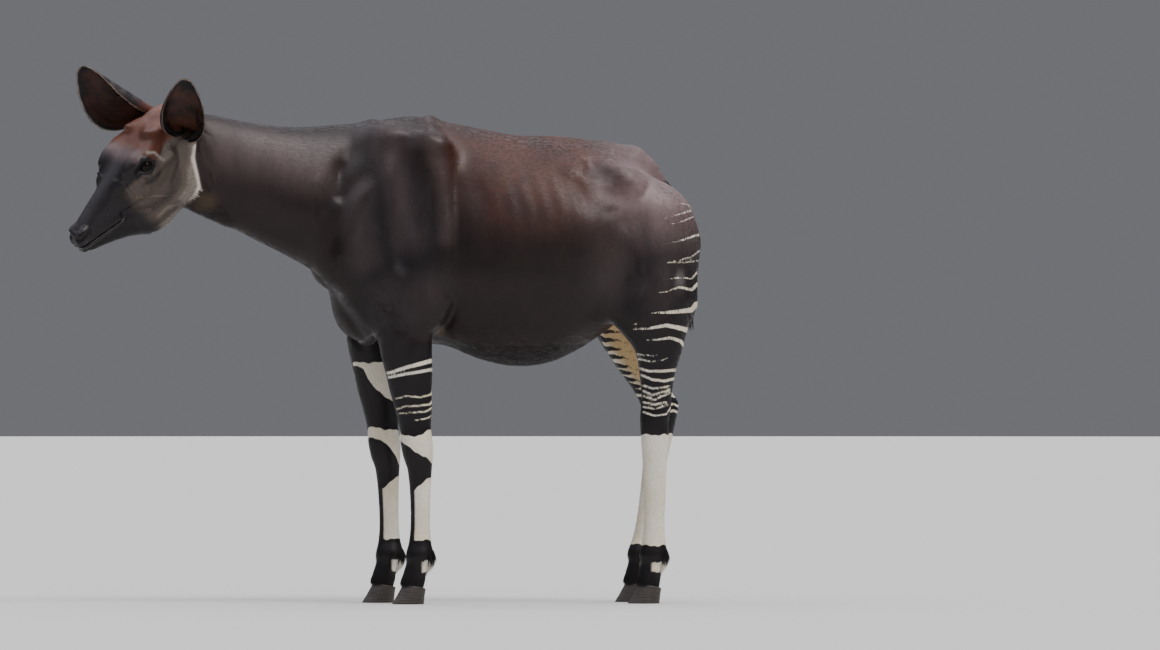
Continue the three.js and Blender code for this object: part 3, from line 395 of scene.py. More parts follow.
BODY = [*trunk_forms(), loft(NECK, tube_rows(NECK_ROWS), blend=70, cap=30), *leg_forms(),
        *head_forms()]
HOLLOWS = [
    *balls(WORLD, (232, 262, 1290), (70, 46, 62), blend=70),
    bar(WORLD, (500, 0, 1226), (538, 0, 1120), (24, 24), blend=20),
    bar(WORLD, (538, 0, 1120), (540, 0, 860), (26, 30), blend=20),
    *balls(HEAD, (118, 104, 40), (34, 26, 22), blend=26),
    *balls(HEAD, (330, 84, -44), (56, 20, 22), blend=24),
]
FAR_AWAY = 400.0


def soft_union(a, b, blend):
    overlap = np.maximum(blend - np.abs(a - b), 0)
    return np.minimum(a, b) - overlap * overlap / (4 * blend)


def soft_cut(a, b, blend):
    """a without b"""
    return -soft_union(-a, b, blend)


def flesh(p):
    """The living shape: the forms of the body joined softly, less the hollows"""
    near = np.full(len(p), FAR_AWAY)
    for sign, forms in ((1, BODY), (-1, HOLLOWS)):
        for form in forms:
            gap = p - form.centre
            limit = (form.reach + form.blend + 60) ** 2
            here = np.flatnonzero(dots(gap, gap) <= limit)
            if len(here):
                near[here] = sign * soft_union(sign * near[here], form.at(p[here]), form.blend)
    return near


# Finer forms of the skin
def line_distance(p, points):
    """The distance to a bent line, and the part of its length where the nearest point lies"""
    points = np.asarray(points, float)
    runs = np.diff(points, axis=0)
    lengths = norms(runs)
    before = np.concatenate([[0], np.cumsum(lengths)])
    best = np.full(len(p), 1e9)
    part = np.zeros(len(p))
    for start, run, length, done in zip(points, runs, lengths, before):
        q = p - start
        t = np.clip(q @ run / (length * length), 0, 1)
        d = norms(q - t[:, None] * run)
        closer = d < best
        best[closer] = d[closer]
        part[closer] = (done + t[closer] * length) / before[-1]
    return best, part


def ridge(p, points, width, height, taper=0.25):
    d, part = line_distance(p, points)
    ends = smooth(0, taper, part) * smooth(0, taper, 1 - part)
    return height * ends * np.exp(-(d / width) ** 2)


# Lines in the head's frame, as place towards the nose and height, alike on both sides, and how
# wide and high the skin rises there, or how deep it sinks
VEINS = [
    ([(318, 30), (314, -4), (303, -56)], 3.2, 3.0),
    ([(303, -56), (264, -90), (226, -116), (192, -140)], 3.4, 3.0),
    ([(303, -56), (330, -66), (352, -78)], 3.0, 2.4),
    ([(318, 30), (372, 22), (438, -8)], 3.2, 2.0),
    ([(264, -90), (250, -66), (246, -40)], 2.6, 1.2),
]
FACE_FOLDS = [
    ([(272, 42), (244, 45), (214, 44), (192, 28)], 5.0, 3.2),
    ([(218, 58), (203, 55), (184, 40), (177, 15), (170, -10)], 8.0, 5.0),
    ([(270, -8), (240, -30), (206, -30), (188, -12)], 6.0, 2.2),
    ([(262, -34), (232, -50), (198, -48)], 7.0, 1.6),
    ([(152, 34), (146, 8), (120, 8), (96, 16)], 12.0, -4.0),
    ([(92, 4), (103, -31), (114, -65), (142, -86), (168, -106), (190, -130)], 12.0, -4.5),
    ([(60, -50), (76, -108), (96, -158), (136, -186)], 14.0, 4.0),
    ([(28, -30), (44, -84), (62, -140), (86, -186)], 11.0, -7.0),
    ([(358, -112), (330, -118), (290, -130)], 7.0, 3.0),
    ([(368, -84), (359, -97), (358, -112)], 7.0, 2.0),
    ([(300, 20), (340, 2), (400, -16), (448, -24)], 12.0, 2.5),
]
# Lines on the trunk, as place along X and height, in the same form
BODY_FOLDS = [
    ([(-437, 1391), (-391, 1443), (-298, 1443), (-236, 1406), (-214, 1369)], 25, 8),
    ([(-248, 1380), (-240, 1150), (-246, 960)], 22, 9),
    ([(-216, 1360), (-206, 1150), (-214, 980)], 20, -7),
    ([(-460, 1314), (-515, 1222), (-555, 1114), (-574, 990)], 18, 10),
    ([(-486, 1340), (-545, 1240), (-590, 1120), (-604, 1010)], 20, -9),
    ([(-400, 1400), (-420, 1270), (-425, 1130), (-400, 1000)], 26, 9),
    ([(-350, 1400), (-352, 1240), (-330, 1100)], 22, -6),
    ([(-300, 1400), (-300, 1230), (-290, 1120)], 20, 7),
    ([(-598, 990), (-564, 933), (-520, 872), (-486, 820), (-452, 770)], 13, -11),
    ([(-560, 960), (-520, 905), (-480, 850), (-450, 790)], 24, 8),
    ([(-486, 942), (-430, 925), (-400, 900)], 14, -6),
    ([(-440, 900), (-400, 872), (-372, 862)], 14, 5),
    ([(-410, 850), (-380, 838), (-350, 840)], 12, -5),
    ([(-262, 960), (-240, 915), (-262, 862), (-286, 832)], 15, 9),
    ([(-226, 980), (-205, 925), (-226, 862), (-256, 822)], 13, -8),
    ([(95, 1366), (190, 1300), (254, 1191)], 28, 6),
    ([(130, 1400), (205, 1345), (262, 1290)], 20, -4),
    ([(178, 1340), (230, 1330), (285, 1300)], 26, -9),
    ([(285, 1274), (330, 1290), (380, 1262)], 30, 5),
    ([(262, 1300), (262, 1240), (268, 1196)], 22, 4),
    ([(312, 930), (337, 1010), (322, 1105), (290, 1170)], 15, 9),
    ([(344, 920), (372, 1010), (362, 1110), (336, 1200)], 17, -8),
    ([(410, 1190), (420, 1080), (400, 960)], 30, 5),
    ([(494, 1170), (506, 1060), (500, 950), (480, 850)], 22, 5),
    ([(462, 1130), (470, 1030), (455, 930), (440, 850)], 16, -5),
    ([(-330, 820), (-345, 760), (-338, 700)], 18, 4),
    ([(-390, 800), (-385, 740), (-368, 680)], 12, -3),
    ([(395, 690), (440, 640), (452, 560)], 10, 3),
    ([(-640, 1150), (-560, 1330), (-470, 1430)], 30, -8),
    ([(-800, 1400), (-700, 1330), (-620, 1240)], 30, 5),
    ([(-556, 1360), (-558, 1285), (-566, 1215)], 17, -9),
    ([(-470, 1180), (-440, 1080), (-400, 1010), (-350, 960)], 24, 6),
    ([(-150, 1330), (-120, 1180), (-130, 1020)], 40, -5),
    ([(-60, 900), (60, 830), (200, 850)], 40, 5),
]
RIBS = 7
RIB_SPACING = 50


def body_relief(p):
    xz = p[:, [0, 2]]
    flank = smooth(30, 80, np.abs(p[:, 1]))
    total = np.zeros(len(p))
    for points, width, height in BODY_FOLDS:
        total += ridge(xz, points, width, height)
    for i in range(RIBS):
        top = -130 + RIB_SPACING * i
        line = [(top, 1360), (top + 40, 1200), (top + 34, 1040)]
        total += ridge(xz, line, 15, 2.2, taper=0.4)
    return total * flank


def head_relief(q):
    side = smooth(12, 40, np.abs(q[:, 1]))
    au = q[:, [0, 2]]
    total = np.zeros(len(q))
    for points, width, height in VEINS:
        total += side * ridge(au, points, width, height, taper=0.08)
    for points, width, height in FACE_FOLDS:
        total += side * ridge(au, points, width, height)
    return total


# The line between the lips: place towards the nose and height
MOUTH_LINE = [(570, -66), (530, -68), (490, -76), (450, -82), (410, -88), (366, -93)]


def eye_frame(s, forward, up):
    """Outwards, backwards and upwards from an eye that looks so far forward and up"""
    outward = unit((forward, s, up))
    level = unit(np.cross((0, 0, 1), outward))
    return outward, level * s, np.cross(outward, level)


def eye_angles(q, s):
    """Distance from the eye's centre, and angles backwards and upwards on the eye, in degrees"""
    g = q - (EYE_CENTRE[0], s * EYE_CENTRE[1], EYE_CENTRE[2])
    r = norms(g)
    outward, back, above = eye_frame(s, 0.28, 0.32)
    g = g / np.maximum(r, 1e-6)[:, None]
    lon = np.degrees(np.arctan2(g @ back, g @ outward))
    lat = np.degrees(np.arcsin(np.clip(g @ above, -1, 1)))
    return r, lon, lat


# Millimetres to a degree on the eyeball, and the angle at which the lids meet
EYE_DEGREE = math.radians(1) * EYE_RADIUS
LID_CORNER = 60


def lid_edges(lon):
    """Angles of the upper and the lower lid's edge above the eye's middle"""
    across = np.clip(lon / 62, -1, 1)
    arc = np.cos(across * math.pi / 2) ** 0.75
    tilt = -0.12 * lon
    return 42 * arc + tilt, -38 * arc + tilt


def add_eye(d, q, s):
    r, lon, lat = eye_angles(q, s)
    near = r < 60
    facing = smooth(100, 70, np.hypot(lon, lat))
    shell = r - 27.4 + 3 * (1 - facing)
    d = np.where(near, soft_union(d, shell, 7), d)
    upper, lower = lid_edges(lon)
    opening = np.maximum(lat - upper, lower - lat) * EYE_DEGREE
    opening = np.maximum(opening, (np.abs(lon) - LID_CORNER) * EYE_DEGREE)
    d = np.where(near, soft_cut(d, np.maximum(opening, 17 - r), 1.6), d)
    middle = smooth(58, 40, np.abs(lon))
    crease = 1.6 * np.exp(-((lat - upper - 17) * EYE_DEGREE / 2.2) ** 2) * middle
    bag = 1.0 * np.exp(-((lat - lower + 16) * EYE_DEGREE / 2.4) ** 2) * middle
    return d + np.where(near & (np.abs(lon) < 80), crease + bag, 0)


# Lines on the near side of the muzzle: place towards the nose, to the side, and height
NOSTRIL = [(480, 40, -28), (500, 37, -31), (517, 30, -35), (528, 20, -38)]
NOSTRIL_RIM = [(476, 42, -24), (494, 40, -15), (514, 32, -14), (530, 20, -22), (533, 12, -32)]
NOSTRIL_WING = [(478, 42, -36), (490, 40, -46), (506, 34, -52), (522, 24, -54)]


def nostril_gap(q):
    """Distance to the edge of the nostril's comma, negative inside it"""
    d, part = line_distance(np.abs(q) * (1, 1, -1), NOSTRIL)
    return d - mix(3.0, 11.0, part ** 0.8)


def mouth_gap(q):
    """Distance above or below the line between the lips"""
    places = [row[0] for row in MOUTH_LINE][::-1]
    heights = [row[1] for row in MOUTH_LINE][::-1]
    return q[:, 2] - np.interp(q[:, 0], places, heights)


def add_face(d, q):
    """Lids, nostrils, the mouth, veins and folds, for points near the head in its frame"""
    d = d - head_relief(q)
    for side in SIDES:
        d = add_eye(d, q, side)
    near = np.abs(q) * (1, 1, -1)
    d = d - ridge(near, NOSTRIL_RIM, 6.0, 2.4, taper=0.12)
    d = d - ridge(near, NOSTRIL_WING, 5.0, 3.6, taper=0.12)
    d = d + 14 * smooth(3.5, -4, nostril_gap(q))
    tear, part = line_distance(np.abs(q), arr((256, 79, 12), (276, 71, 14)))
    d = soft_cut(d, tear - mix(2.6, 1.6, part), 3)
    off = mouth_gap(q)
    lips = smooth(352, 384, q[:, 0]) * smooth(-230, -120, q[:, 2])
    d = d + lips * (5.0 * np.exp(-(off / 2.4) ** 2) + 2.6 * np.exp(-((off + 19) / 4.5) ** 2))
    return d - lips * (1.6 * np.exp(-((off - 7) / 4.5) ** 2)
                       + 2.6 * np.exp(-((off + 9) / 5.0) ** 2))


def coat_depth(p):
    depth = mix(1.0, 3.0, smooth(300, HEAD_REACH, from_head(p)))
    return np.minimum(depth, mix(1.4, 3.0, smooth(560, 860, p[:, 2])))


def skin(p):
    """The skin under the coat: the living shape less the coat's depth, with its finer forms"""
    d = flesh(p) + coat_depth(p)
    trunk = np.flatnonzero((p[:, 0] > -640) & (p[:, 2] > 500))
    if len(trunk):
        d[trunk] -= body_relief(p[trunk])
    head = np.flatnonzero(from_head(p) < FACE_REACH)
    if len(head):
        d[head] = add_face(d[head], HEAD.inside(p[head]))
    low = np.flatnonzero(p[:, 2] < 110)
    if len(low):
        for leg in LEGS:
            x = p[low, 0] - leg["toe"]
            here = (np.abs(x) < 120) & (p[low, 1] * leg["side"] > 0)
            floor = CORONET - 4 - CORONET_SLOPE * x - p[low, 2]
            d[low] = np.where(here, np.maximum(d[low], floor), d[low])
    return d


# How far from a point its slope is measured
PROBE = 0.4


def slope_of(field, p, value):
    return np.stack([(field(p + PROBE * np.eye(3)[a]) - value) / PROBE for a in range(3)], axis=1)


def onto(field, p, rounds, largest):
    """Moves points along the field's slope to where it is zero, at most so far a round"""
    p = p.copy()
    moving = np.arange(len(p))
    for _ in range(rounds):
        q = p[moving]
        value = field(q)
        slope = slope_of(field, q, value)
        size = np.maximum(dots(slope, slope), 0.05)
        move = -(value / size)[:, None] * slope
        length = norms(move)
        move *= np.minimum(1, largest / np.maximum(length, 1e-9))[:, None]
        p[moving] = q + move
        moving = moving[length > 0.03]
        if len(moving) == 0:
            break
    return p


# One closed net over the field, finer where the shape is finer
def halves(quads):
    return np.concatenate([quads[:, [0, 1, 2]], quads[:, [0, 2, 3]]])


def grid_net(field, low, high, step):
    """A closed net where the field is zero, one point to each cell that its surface crosses"""
    counts = np.ceil((high - low) / step).astype(int)
    coarse = 4
    counts += (-counts) % coarse
    corner = np.stack(np.meshgrid(*[np.arange(0, c + 1, coarse) for c in counts],
                                  indexing="ij"), axis=-1)
    rough = field(low + step * corner.reshape(-1, 3)).reshape(corner.shape[:3])
    near = np.abs(rough) < step * coarse * 1.75
    values = np.repeat(np.repeat(np.repeat(rough, coarse, 0), coarse, 1), coarse, 2)
    wanted = np.repeat(np.repeat(np.repeat(near, coarse, 0), coarse, 1), coarse, 2)
    grow = wanted.copy()
    for axis in range(3):
        for shift in (-coarse + 1, coarse - 1):
            grow |= np.roll(wanted, shift, axis)
    size = counts + 1
    shift = coarse // 2
    values = np.roll(values, (-shift,) * 3, (0, 1, 2))[:size[0], :size[1], :size[2]]
    grow = grow[:size[0], :size[1], :size[2]]
    spots = np.argwhere(grow)
    values = values.copy()
    for part in np.array_split(spots, max(1, len(spots) // 150000)):
        values[tuple(part.T)] = field(low + step * part)
    inside = values < 0
    corners = [(c & 1, (c >> 1) & 1, (c >> 2) & 1) for c in range(8)]
    cut = tuple(size - 1)

    def shifted(array, c):
        return array[c[0]:c[0] + cut[0], c[1]:c[1] + cut[1], c[2]:c[2] + cut[2]]

    total = sum(shifted(inside, c).astype(np.int8) for c in corners)
    cells = np.argwhere((total > 0) & (total < 8))
    number = np.full(cut, -1, np.int64)
    number[tuple(cells.T)] = np.arange(len(cells))
    sums = np.zeros((len(cells), 3))
    hits = np.zeros(len(cells))
    for i, a in enumerate(corners):
        for bit, axis in ((1, 0), (2, 1), (4, 2)):
            if i & bit:
                continue
            b = corners[i | bit]
            va = values[tuple((cells + a).T)]
            vb = values[tuple((cells + b).T)]
            crossed = (va < 0) != (vb < 0)
            t = va[crossed] / (va[crossed] - vb[crossed])
            spot = (cells[crossed] + a).astype(float)
            spot[:, axis] += t
            sums[crossed] += spot
            hits[crossed] += 1
    points = low + step * (sums / hits[:, None])
    quads = []
    for a in range(3):
        b, c = (a + 1) % 3, (a + 2) % 3
        one = [slice(0, size[0]), slice(0, size[1]), slice(0, size[2])]
        two = list(one)
        one[a] = slice(0, size[a] - 1)
        two[a] = slice(1, size[a])
        here, there = inside[tuple(one)], inside[tuple(two)]
        at = np.argwhere(here != there)
        at = at[(at[:, b] > 0) & (at[:, c] > 0) & (at[:, b] < cut[b]) & (at[:, c] < cut[c])]
        eb, ec = np.eye(3, dtype=int)[b], np.eye(3, dtype=int)[c]
        ring = np.stack([number[tuple((at + o).T)] for o in (0 * eb, -eb, -eb - ec, -ec)], axis=1)
        flip = ~here[tuple(at.T)]
        ring[flip] = ring[flip][:, ::-1]
        quads.append(ring)
    quads = np.concatenate(quads)
    quads = quads[(quads >= 0).all(axis=1)]
    first = norms(points[quads[:, 0]] - points[quads[:, 2]])
    second = norms(points[quads[:, 1]] - points[quads[:, 3]])
    other = first > second
    quads[other] = np.roll(quads[other], 1, axis=1)
    return points, halves(quads)


def edges_of(triangles):
    pairs = np.sort(triangles[:, [0, 1, 1, 2, 2, 0]].reshape(-1, 2), axis=1)
    keys, inverse = np.unique(pairs[:, 0] * (1 << 32) + pairs[:, 1], return_inverse=True)
    return np.stack([keys >> 32, keys & 0xFFFFFFFF], axis=1), inverse.reshape(-1, 3)


def split_long(points, triangles, target):
    """Splits each edge that is longer than its place asks for; returns the new points' start"""
    edges, of_triangle = edges_of(triangles)
    middle = (points[edges[:, 0]] + points[edges[:, 1]]) / 2
    length = norms(points[edges[:, 0]] - points[edges[:, 1]])
    long = length > 1.35 * target(middle)
    number = np.full(len(edges), -1)
    number[long] = len(points) + np.arange(long.sum())
    new = number[of_triangle]
    marks = (new >= 0) @ np.array([1, 2, 4])
    out = [triangles[marks == 0]]
    for turn in range(3):
        v = np.roll(triangles, -turn, axis=1)
        m = np.roll(new, -turn, axis=1)
        code = (m >= 0) @ np.array([1, 2, 4])
        one = code == 1
        a, b, c = v[one].T
        ab = m[one, 0]
        out += [np.stack([a, ab, c], 1), np.stack([ab, b, c], 1)]
        two = code == 3
        a, b, c = v[two].T
        ab, bc = m[two, 0], m[two, 1]
        out += [np.stack([ab, b, bc], 1), np.stack([a, ab, c], 1), np.stack([ab, bc, c], 1)]
    every = marks == 7
    a, b, c = triangles[every].T
    ab, bc, ca = new[every].T
    out += [np.stack(t, 1) for t in ((a, ab, ca), (ab, b, bc), (ca, bc, c), (ab, bc, ca))]
    return np.concatenate([points, middle[long]]), np.concatenate(out), len(points)


def flip_edges(points, triangles, rounds=2):
    """Turns an edge where the other diagonal of its two triangles is clearly shorter"""
    for _ in range(rounds):
        edges, of_triangle = edges_of(triangles)
        count = np.bincount(of_triangle.ravel(), minlength=len(edges))
        order = np.argsort(of_triangle.ravel(), kind="stable")
        starts = np.concatenate([[0], np.cumsum(count)])[:-1]
        good = np.flatnonzero(count == 2)
        t0, k0 = np.divmod(order[starts[good]], 3)
        t1, k1 = np.divmod(order[starts[good] + 1], 3)
        far0 = triangles[t0, (k0 + 2) % 3]
        far1 = triangles[t1, (k1 + 2) % 3]
        a, b = triangles[t0, k0], triangles[t0, (k0 + 1) % 3]
        now = norms(points[a] - points[b])
        then = norms(points[far0] - points[far1])
        normal0 = np.cross(points[b] - points[a], points[far0] - points[a])
        normal1 = np.cross(points[far0] - points[far1], points[b] - points[far1])
        normal2 = np.cross(points[a] - points[far1], points[far0] - points[far1])
        flat = (dots(normal0, normal1) > 0) & (dots(normal0, normal2) > 0)
        want = (then < 0.9 * now) & flat & (far0 != far1)
        known = np.sort(np.stack([far0, far1], 1), axis=1)
        keys = known[:, 0] * (1 << 32) + known[:, 1]
        want &= ~np.isin(keys, edges[:, 0] * (1 << 32) + edges[:, 1])
        rank = np.argsort(then / now)
        rank = rank[want[rank]]
        busy = np.zeros(len(triangles), bool)
        chosen = []
        used = set()
        for i in rank:
            if busy[t0[i]] or busy[t1[i]] or keys[i] in used:
                continue
            busy[t0[i]] = busy[t1[i]] = True
            used.add(keys[i])
            chosen.append(i)
        chosen = np.array(chosen, int)
        if len(chosen) == 0:
            break
        triangles = triangles.copy()
        triangles[t0[chosen]] = np.stack([a[chosen], far1[chosen], far0[chosen]], 1)
        triangles[t1[chosen]] = np.stack([b[chosen], far0[chosen], far1[chosen]], 1)
    return triangles


def even_out(points, triangles, share):
    edges, _ = edges_of(triangles)
    sums = np.zeros_like(points)
    for a in range(3):
        sums[:, a] = (np.bincount(edges[:, 0], points[edges[:, 1], a], len(points))
                      + np.bincount(edges[:, 1], points[edges[:, 0], a], len(points)))
    count = np.bincount(edges.ravel(), minlength=len(points))
    return mix(points, sums / np.maximum(count, 1)[:, None], share)


def edge_target(p):
    """How long the edges of the skin's triangles may be"""
    far = from_head(p)
    size = mix(4.6, 12.0, smooth(300, HEAD_REACH, far))
    size = np.minimum(size, mix(7.5, 12, smooth(820, 960, p[:, 2])))
    rump = smooth(300, 380, p[:, 0]) * smooth(1330, 1230, p[:, 2])
    size = np.minimum(size, mix(12, 7.5, rump))
    near = np.flatnonzero(far < FACE_REACH)
    if len(near):
        q = HEAD.inside(p[near])
        mouth = np.abs(mouth_gap(q)) + np.maximum(360 - q[:, 0], 0)
        # Distance from each feature, the length at it, and where the length grows and stops
        features = [
            *[(norms(q - (226, side * 62, 8)), 1.9, 34, 52) for side in SIDES],
            (nostril_gap(q), 1.7, 8, 20),
            (mouth, 1.7, 6, 16),
            *[(line_distance(q[:, [0, 2]], vein[0])[0], 2.6, 5, 12) for vein in VEINS],
        ]
        for gap, finest, start, end in features:
            size[near] = np.minimum(size[near], mix(finest, 5, smooth(start, end, gap)))
    return size * 1


def make_skin():
    """Points and triangles of the skin, finer where edge_target asks for it"""
    low, high = arr(-1420, -440, -20), arr(600, 300, 1640)
    step = 14.0
    points, triangles = grid_net(skin, low, high, step)
    points = onto(skin, points, 3, step / 2)
    points = onto(skin, even_out(points, triangles, 0.5), 3, step / 2)
    for level in range(4):
        points, triangles, start = split_long(points, triangles, edge_target)
        if start == len(points):
            break
        triangles = flip_edges(points, triangles)
        largest = step / 2 ** (level + 1)
        points[start:] = onto(skin, points[start:], 2, largest)
        points = onto(skin, even_out(points, triangles, 0.4), 2, largest)
        triangles = flip_edges(points, triangles)
    points = onto(skin, points, 2, 2.0)
    return points, triangles


# The frame: where the animal's own place lies in it, in metres
HOOF_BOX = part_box("hoof_fore_left_outer")
SHIFT = arr(HOOF_BOX[0][0] * 1000 - FORE_TOE + HOOF_LENGTH / 2,
            HOOF_BOX[1][1] * 1000 + TRACK_FORE + 0.4, 0)


def metres(p):
    return (np.asarray(p) + SHIFT) / 1000


def make_mesh(name, points, faces, normals=None):
    """A mesh object in the frame from points in millimetres and triangles"""
    mesh = bpy.data.meshes.new(name)
    faces = np.asarray(faces, np.int32)
    sides = faces.shape[1]
    mesh.vertices.add(len(points))
    mesh.vertices.foreach_set("co", metres(points).astype(np.float32).ravel())
    mesh.loops.add(faces.size)
    mesh.loops.foreach_set("vertex_index", faces.ravel())
    mesh.polygons.add(len(faces))
    mesh.polygons.foreach_set("loop_start", np.arange(0, faces.size, sides, dtype=np.int32))
    mesh.polygons.foreach_set("use_smooth", np.ones(len(faces), bool))
    mesh.update(calc_edges=True)
    mesh.validate()
    if normals is not None:
        mesh.normals_split_custom_set_from_vertices(normals.astype(np.float32).tolist())
    obj = bpy.data.objects.new(name, mesh)
    bpy.context.scene.collection.objects.link(obj)
    return obj


def set_vectors(obj, name, values):
    layer = obj.data.attributes.new(name, "FLOAT_VECTOR", "POINT")
    layer.data.foreach_set("vector", values.astype(np.float32).ravel())


def finish_piece(obj, material, slot, *nodes):
    """Gives a piece its material and its body, and hides the nodes that it stands for; slot is not
    used
    """
    obj.data.materials.append(material)
    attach(obj, "root")
    if nodes:
        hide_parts(*nodes)


# Markings: masks from 0 to 1, or millimetres inside an edge
# Bars of the hind leg's outer side: half thickness in front and behind, and the bar's middle as
# place along X and height. They widen towards the back edge and run round it.
HIND_BARS = [
    (0.8, 2.4, [(459, 1221), (490, 1225), (521, 1220), (560, 1218)]),
    (0.8, 3.2, [(428, 1178), (478, 1192), (529, 1206), (560, 1210)]),
    (0.8, 3.0, [(440, 1160), (484, 1168), (529, 1185), (570, 1188)]),
    (2.2, 2.2, [(524, 1212), (542, 1184), (552, 1140)]),
    (0.4, 4.4, [(424, 1099), (490, 1113), (534, 1127), (580, 1134)]),
    (0.4, 3.4, [(413, 1038), (475, 1050), (521, 1062), (552, 1081), (590, 1084)]),
    (0.4, 3.2, [(440, 1042), (490, 1044), (552, 1050), (590, 1052)]),
    (0.4, 4.0, [(413, 989), (453, 995), (490, 999), (521, 995), (546, 1016), (580, 1022)]),
    (0.5, 6.0, [(407, 952), (441, 956), (475, 969), (521, 961), (543, 979), (580, 985)]),
    (1.2, 9.5, [(388, 890), (444, 892), (490, 896), (521, 900), (534, 915), (560, 922)]),
    (1.8, 0.8, [(335, 855), (354, 858)]),
    (1.5, 9.0, [(335, 840), (382, 843), (435, 852), (466, 847), (515, 836), (560, 834)]),
    (1.2, 7.0, [(376, 807), (413, 809), (450, 814), (484, 804), (503, 786), (530, 772)]),
    (2.6, 1.0, [(354, 764), (382, 760), (422, 761)]),
    (3.0, 1.2, [(357, 749), (391, 741), (428, 746), (450, 757)]),
    (3.4, 5.0, [(360, 721), (385, 712), (428, 712), (484, 717), (520, 719)]),
    (3.4, 5.0, [(366, 700), (397, 686), (435, 682), (481, 692), (520, 694)]),
    (3.2, 2.8, [(370, 669), (397, 659), (453, 666)]),
    (3.2, 2.8, [(373, 651), (397, 640), (453, 654)]),
    (3.0, 2.8, [(373, 635), (404, 625), (453, 645)]),
    (3.0, 2.6, [(373, 617), (404, 611), (441, 617)]),
    (3.0, 2.6, [(373, 602), (404, 597), (447, 608)]),
    (3.2, 2.4, [(373, 586), (404, 576), (441, 580), (466, 611)]),
]
FORE_BARS = [
    (3.6, 7.0, [(-440, 702), (-410, 708), (-362, 724), (-275, 746), (-250, 749)]),
    (3.0, 5.4, [(-440, 684), (-410, 693), (-362, 704), (-275, 718), (-250, 720)]),
    (2.6, 3.4, [(-392, 628), (-362, 636), (-316, 633), (-285, 640), (-265, 658)]),
    (2.6, 3.6, [(-388, 596), (-362, 605), (-316, 607), (-285, 612), (-265, 634)]),
    (2.2, 3.2, [(-380, 583), (-340, 586), (-300, 589), (-272, 603), (-262, 616)]),
    (2.0, 3.0, [(-335, 562), (-294, 568), (-272, 582), (-262, 594)]),
]
# Heights of the edges of the white on the forelegs, by place along X on the left leg
FORE_WHITE_TOP = [(-400, 528), (-381, 522), (-347, 511), (-310, 520), (-275, 540)]
FORE_WHITE_END = [(-400, 512), (-371, 497), (-350, 478), (-320, 460), (-300, 448), (-272, 428)]
FORE_INNER_TOP = [(-400, 528), (-371, 540), (-330, 534), (-275, 528)]
FORE_INNER_END = [(-400, 520), (-371, 508), (-324, 494), (-293, 452), (-281, 425)]
FORE_PATCH_END = [(-410, 726), (-396, 718), (-362, 660), (-306, 620), (-270, 606)]
# Dark dashes from the front edge of the hind leg's inner side
DASH_HEIGHTS = (838, 812, 784, 758, 730, 709, 688, 668, 650)


def height_at(x, rows):
    return np.interp(x, [row[0] for row in rows], [row[1] for row in rows])


def bars_inside(xz, bars):
    best = np.full(len(xz), -40.0)
    for front, back, line in bars:
        d, part = line_distance(xz, line)
        best = np.maximum(best, mix(front, back, part ** 0.8) - d)
    return best


def as_left(leg, p):
    """Place along X on the left leg of the pair, and from -1 in front to 1 behind"""
    pair_left = LEGS[0] if leg["name"] == "foreleg" else LEGS[2]
    z = np.clip(p[:, 2], LEG_FOOT, LEG_TOP)
    x, long, _ = leg["table"](z)
    there, there_long, _ = pair_left["table"](z)
    across = (p[:, 0] - x) / long
    moved = there + across * there_long
    return mix(moved, p[:, 0], smooth(840, 940, p[:, 2])), across


def leg_white(leg, p, n):
    """Millimetres inside the white or cream of one leg"""
    x, across = as_left(leg, p)
    z = p[:, 2] + 2.0 * np.sin(x / 9.0) + 1.5 * np.sin(x / 4.3 + 2 * leg["side"])
    xz = np.stack([x, p[:, 2]], 1)
    outer_side = smooth(-0.3, 0.3, n[:, 1] * leg["side"])
    if leg["name"] == "foreleg":
        outer = bars_inside(xz, FORE_BARS)
        band = np.minimum(height_at(x, FORE_WHITE_TOP) - z, z - height_at(x, FORE_WHITE_END))
        outer = np.maximum(outer, band)
        inner = np.minimum(height_at(x, FORE_INNER_TOP) - z, z - height_at(x, FORE_INNER_END))
        patch = np.minimum(738 - z, z - height_at(x, FORE_PATCH_END))
        inner = np.maximum(inner, patch)
        shank = np.minimum(368 - z + 24 * across, z - 196)
        shank = np.minimum(shank, 14 * (across + 0.62))
        low = np.minimum(132 - z, z - 96) * 0.5 - 3 * smooth(0.2, -0.6, across)
        both = np.maximum(shank, np.minimum(low, 8 * (across - 0.1)))
    else:
        outer = bars_inside(xz, HIND_BARS)
        inner = np.minimum(z - 632, 985 - z)
        for height in DASH_HEIGHTS:
            wedge = 7.5 * (1 - smooth(-1.15, -0.1, across)) - np.abs(z - height + 14 * (across + 1))
            inner = np.minimum(inner, -wedge - 1.5)
        for height, start in ((606, 0.35), (586, 0.3)):
            band = np.minimum(4 - np.abs(z - height), 16 * (across - start))
            inner = np.maximum(inner, band)
        both = np.minimum(517 - z, z - 178)
        both = np.maximum(both, np.minimum(np.minimum(128 - z, z - 98), 9 * (across + 0.2)))
    return np.maximum(mix(inner, outer, outer_side), both)


def spot(points, centre, radii, soft=0.6):
    """1 inside a soft ellipse, 0 outside"""
    d = np.sqrt(sum(((points[:, i] - centre[i]) / radii[i]) ** 2 for i in range(len(centre))))
    return smooth(1 + soft, 1 - soft, d)


# The edge between head and neck: height in the head's frame and place towards the nose
JAW_EDGE = [(-260, 215), (-190, 168), (-159, 120), (-103, 90), (-44, 56), (20, 10), (60, -10)]
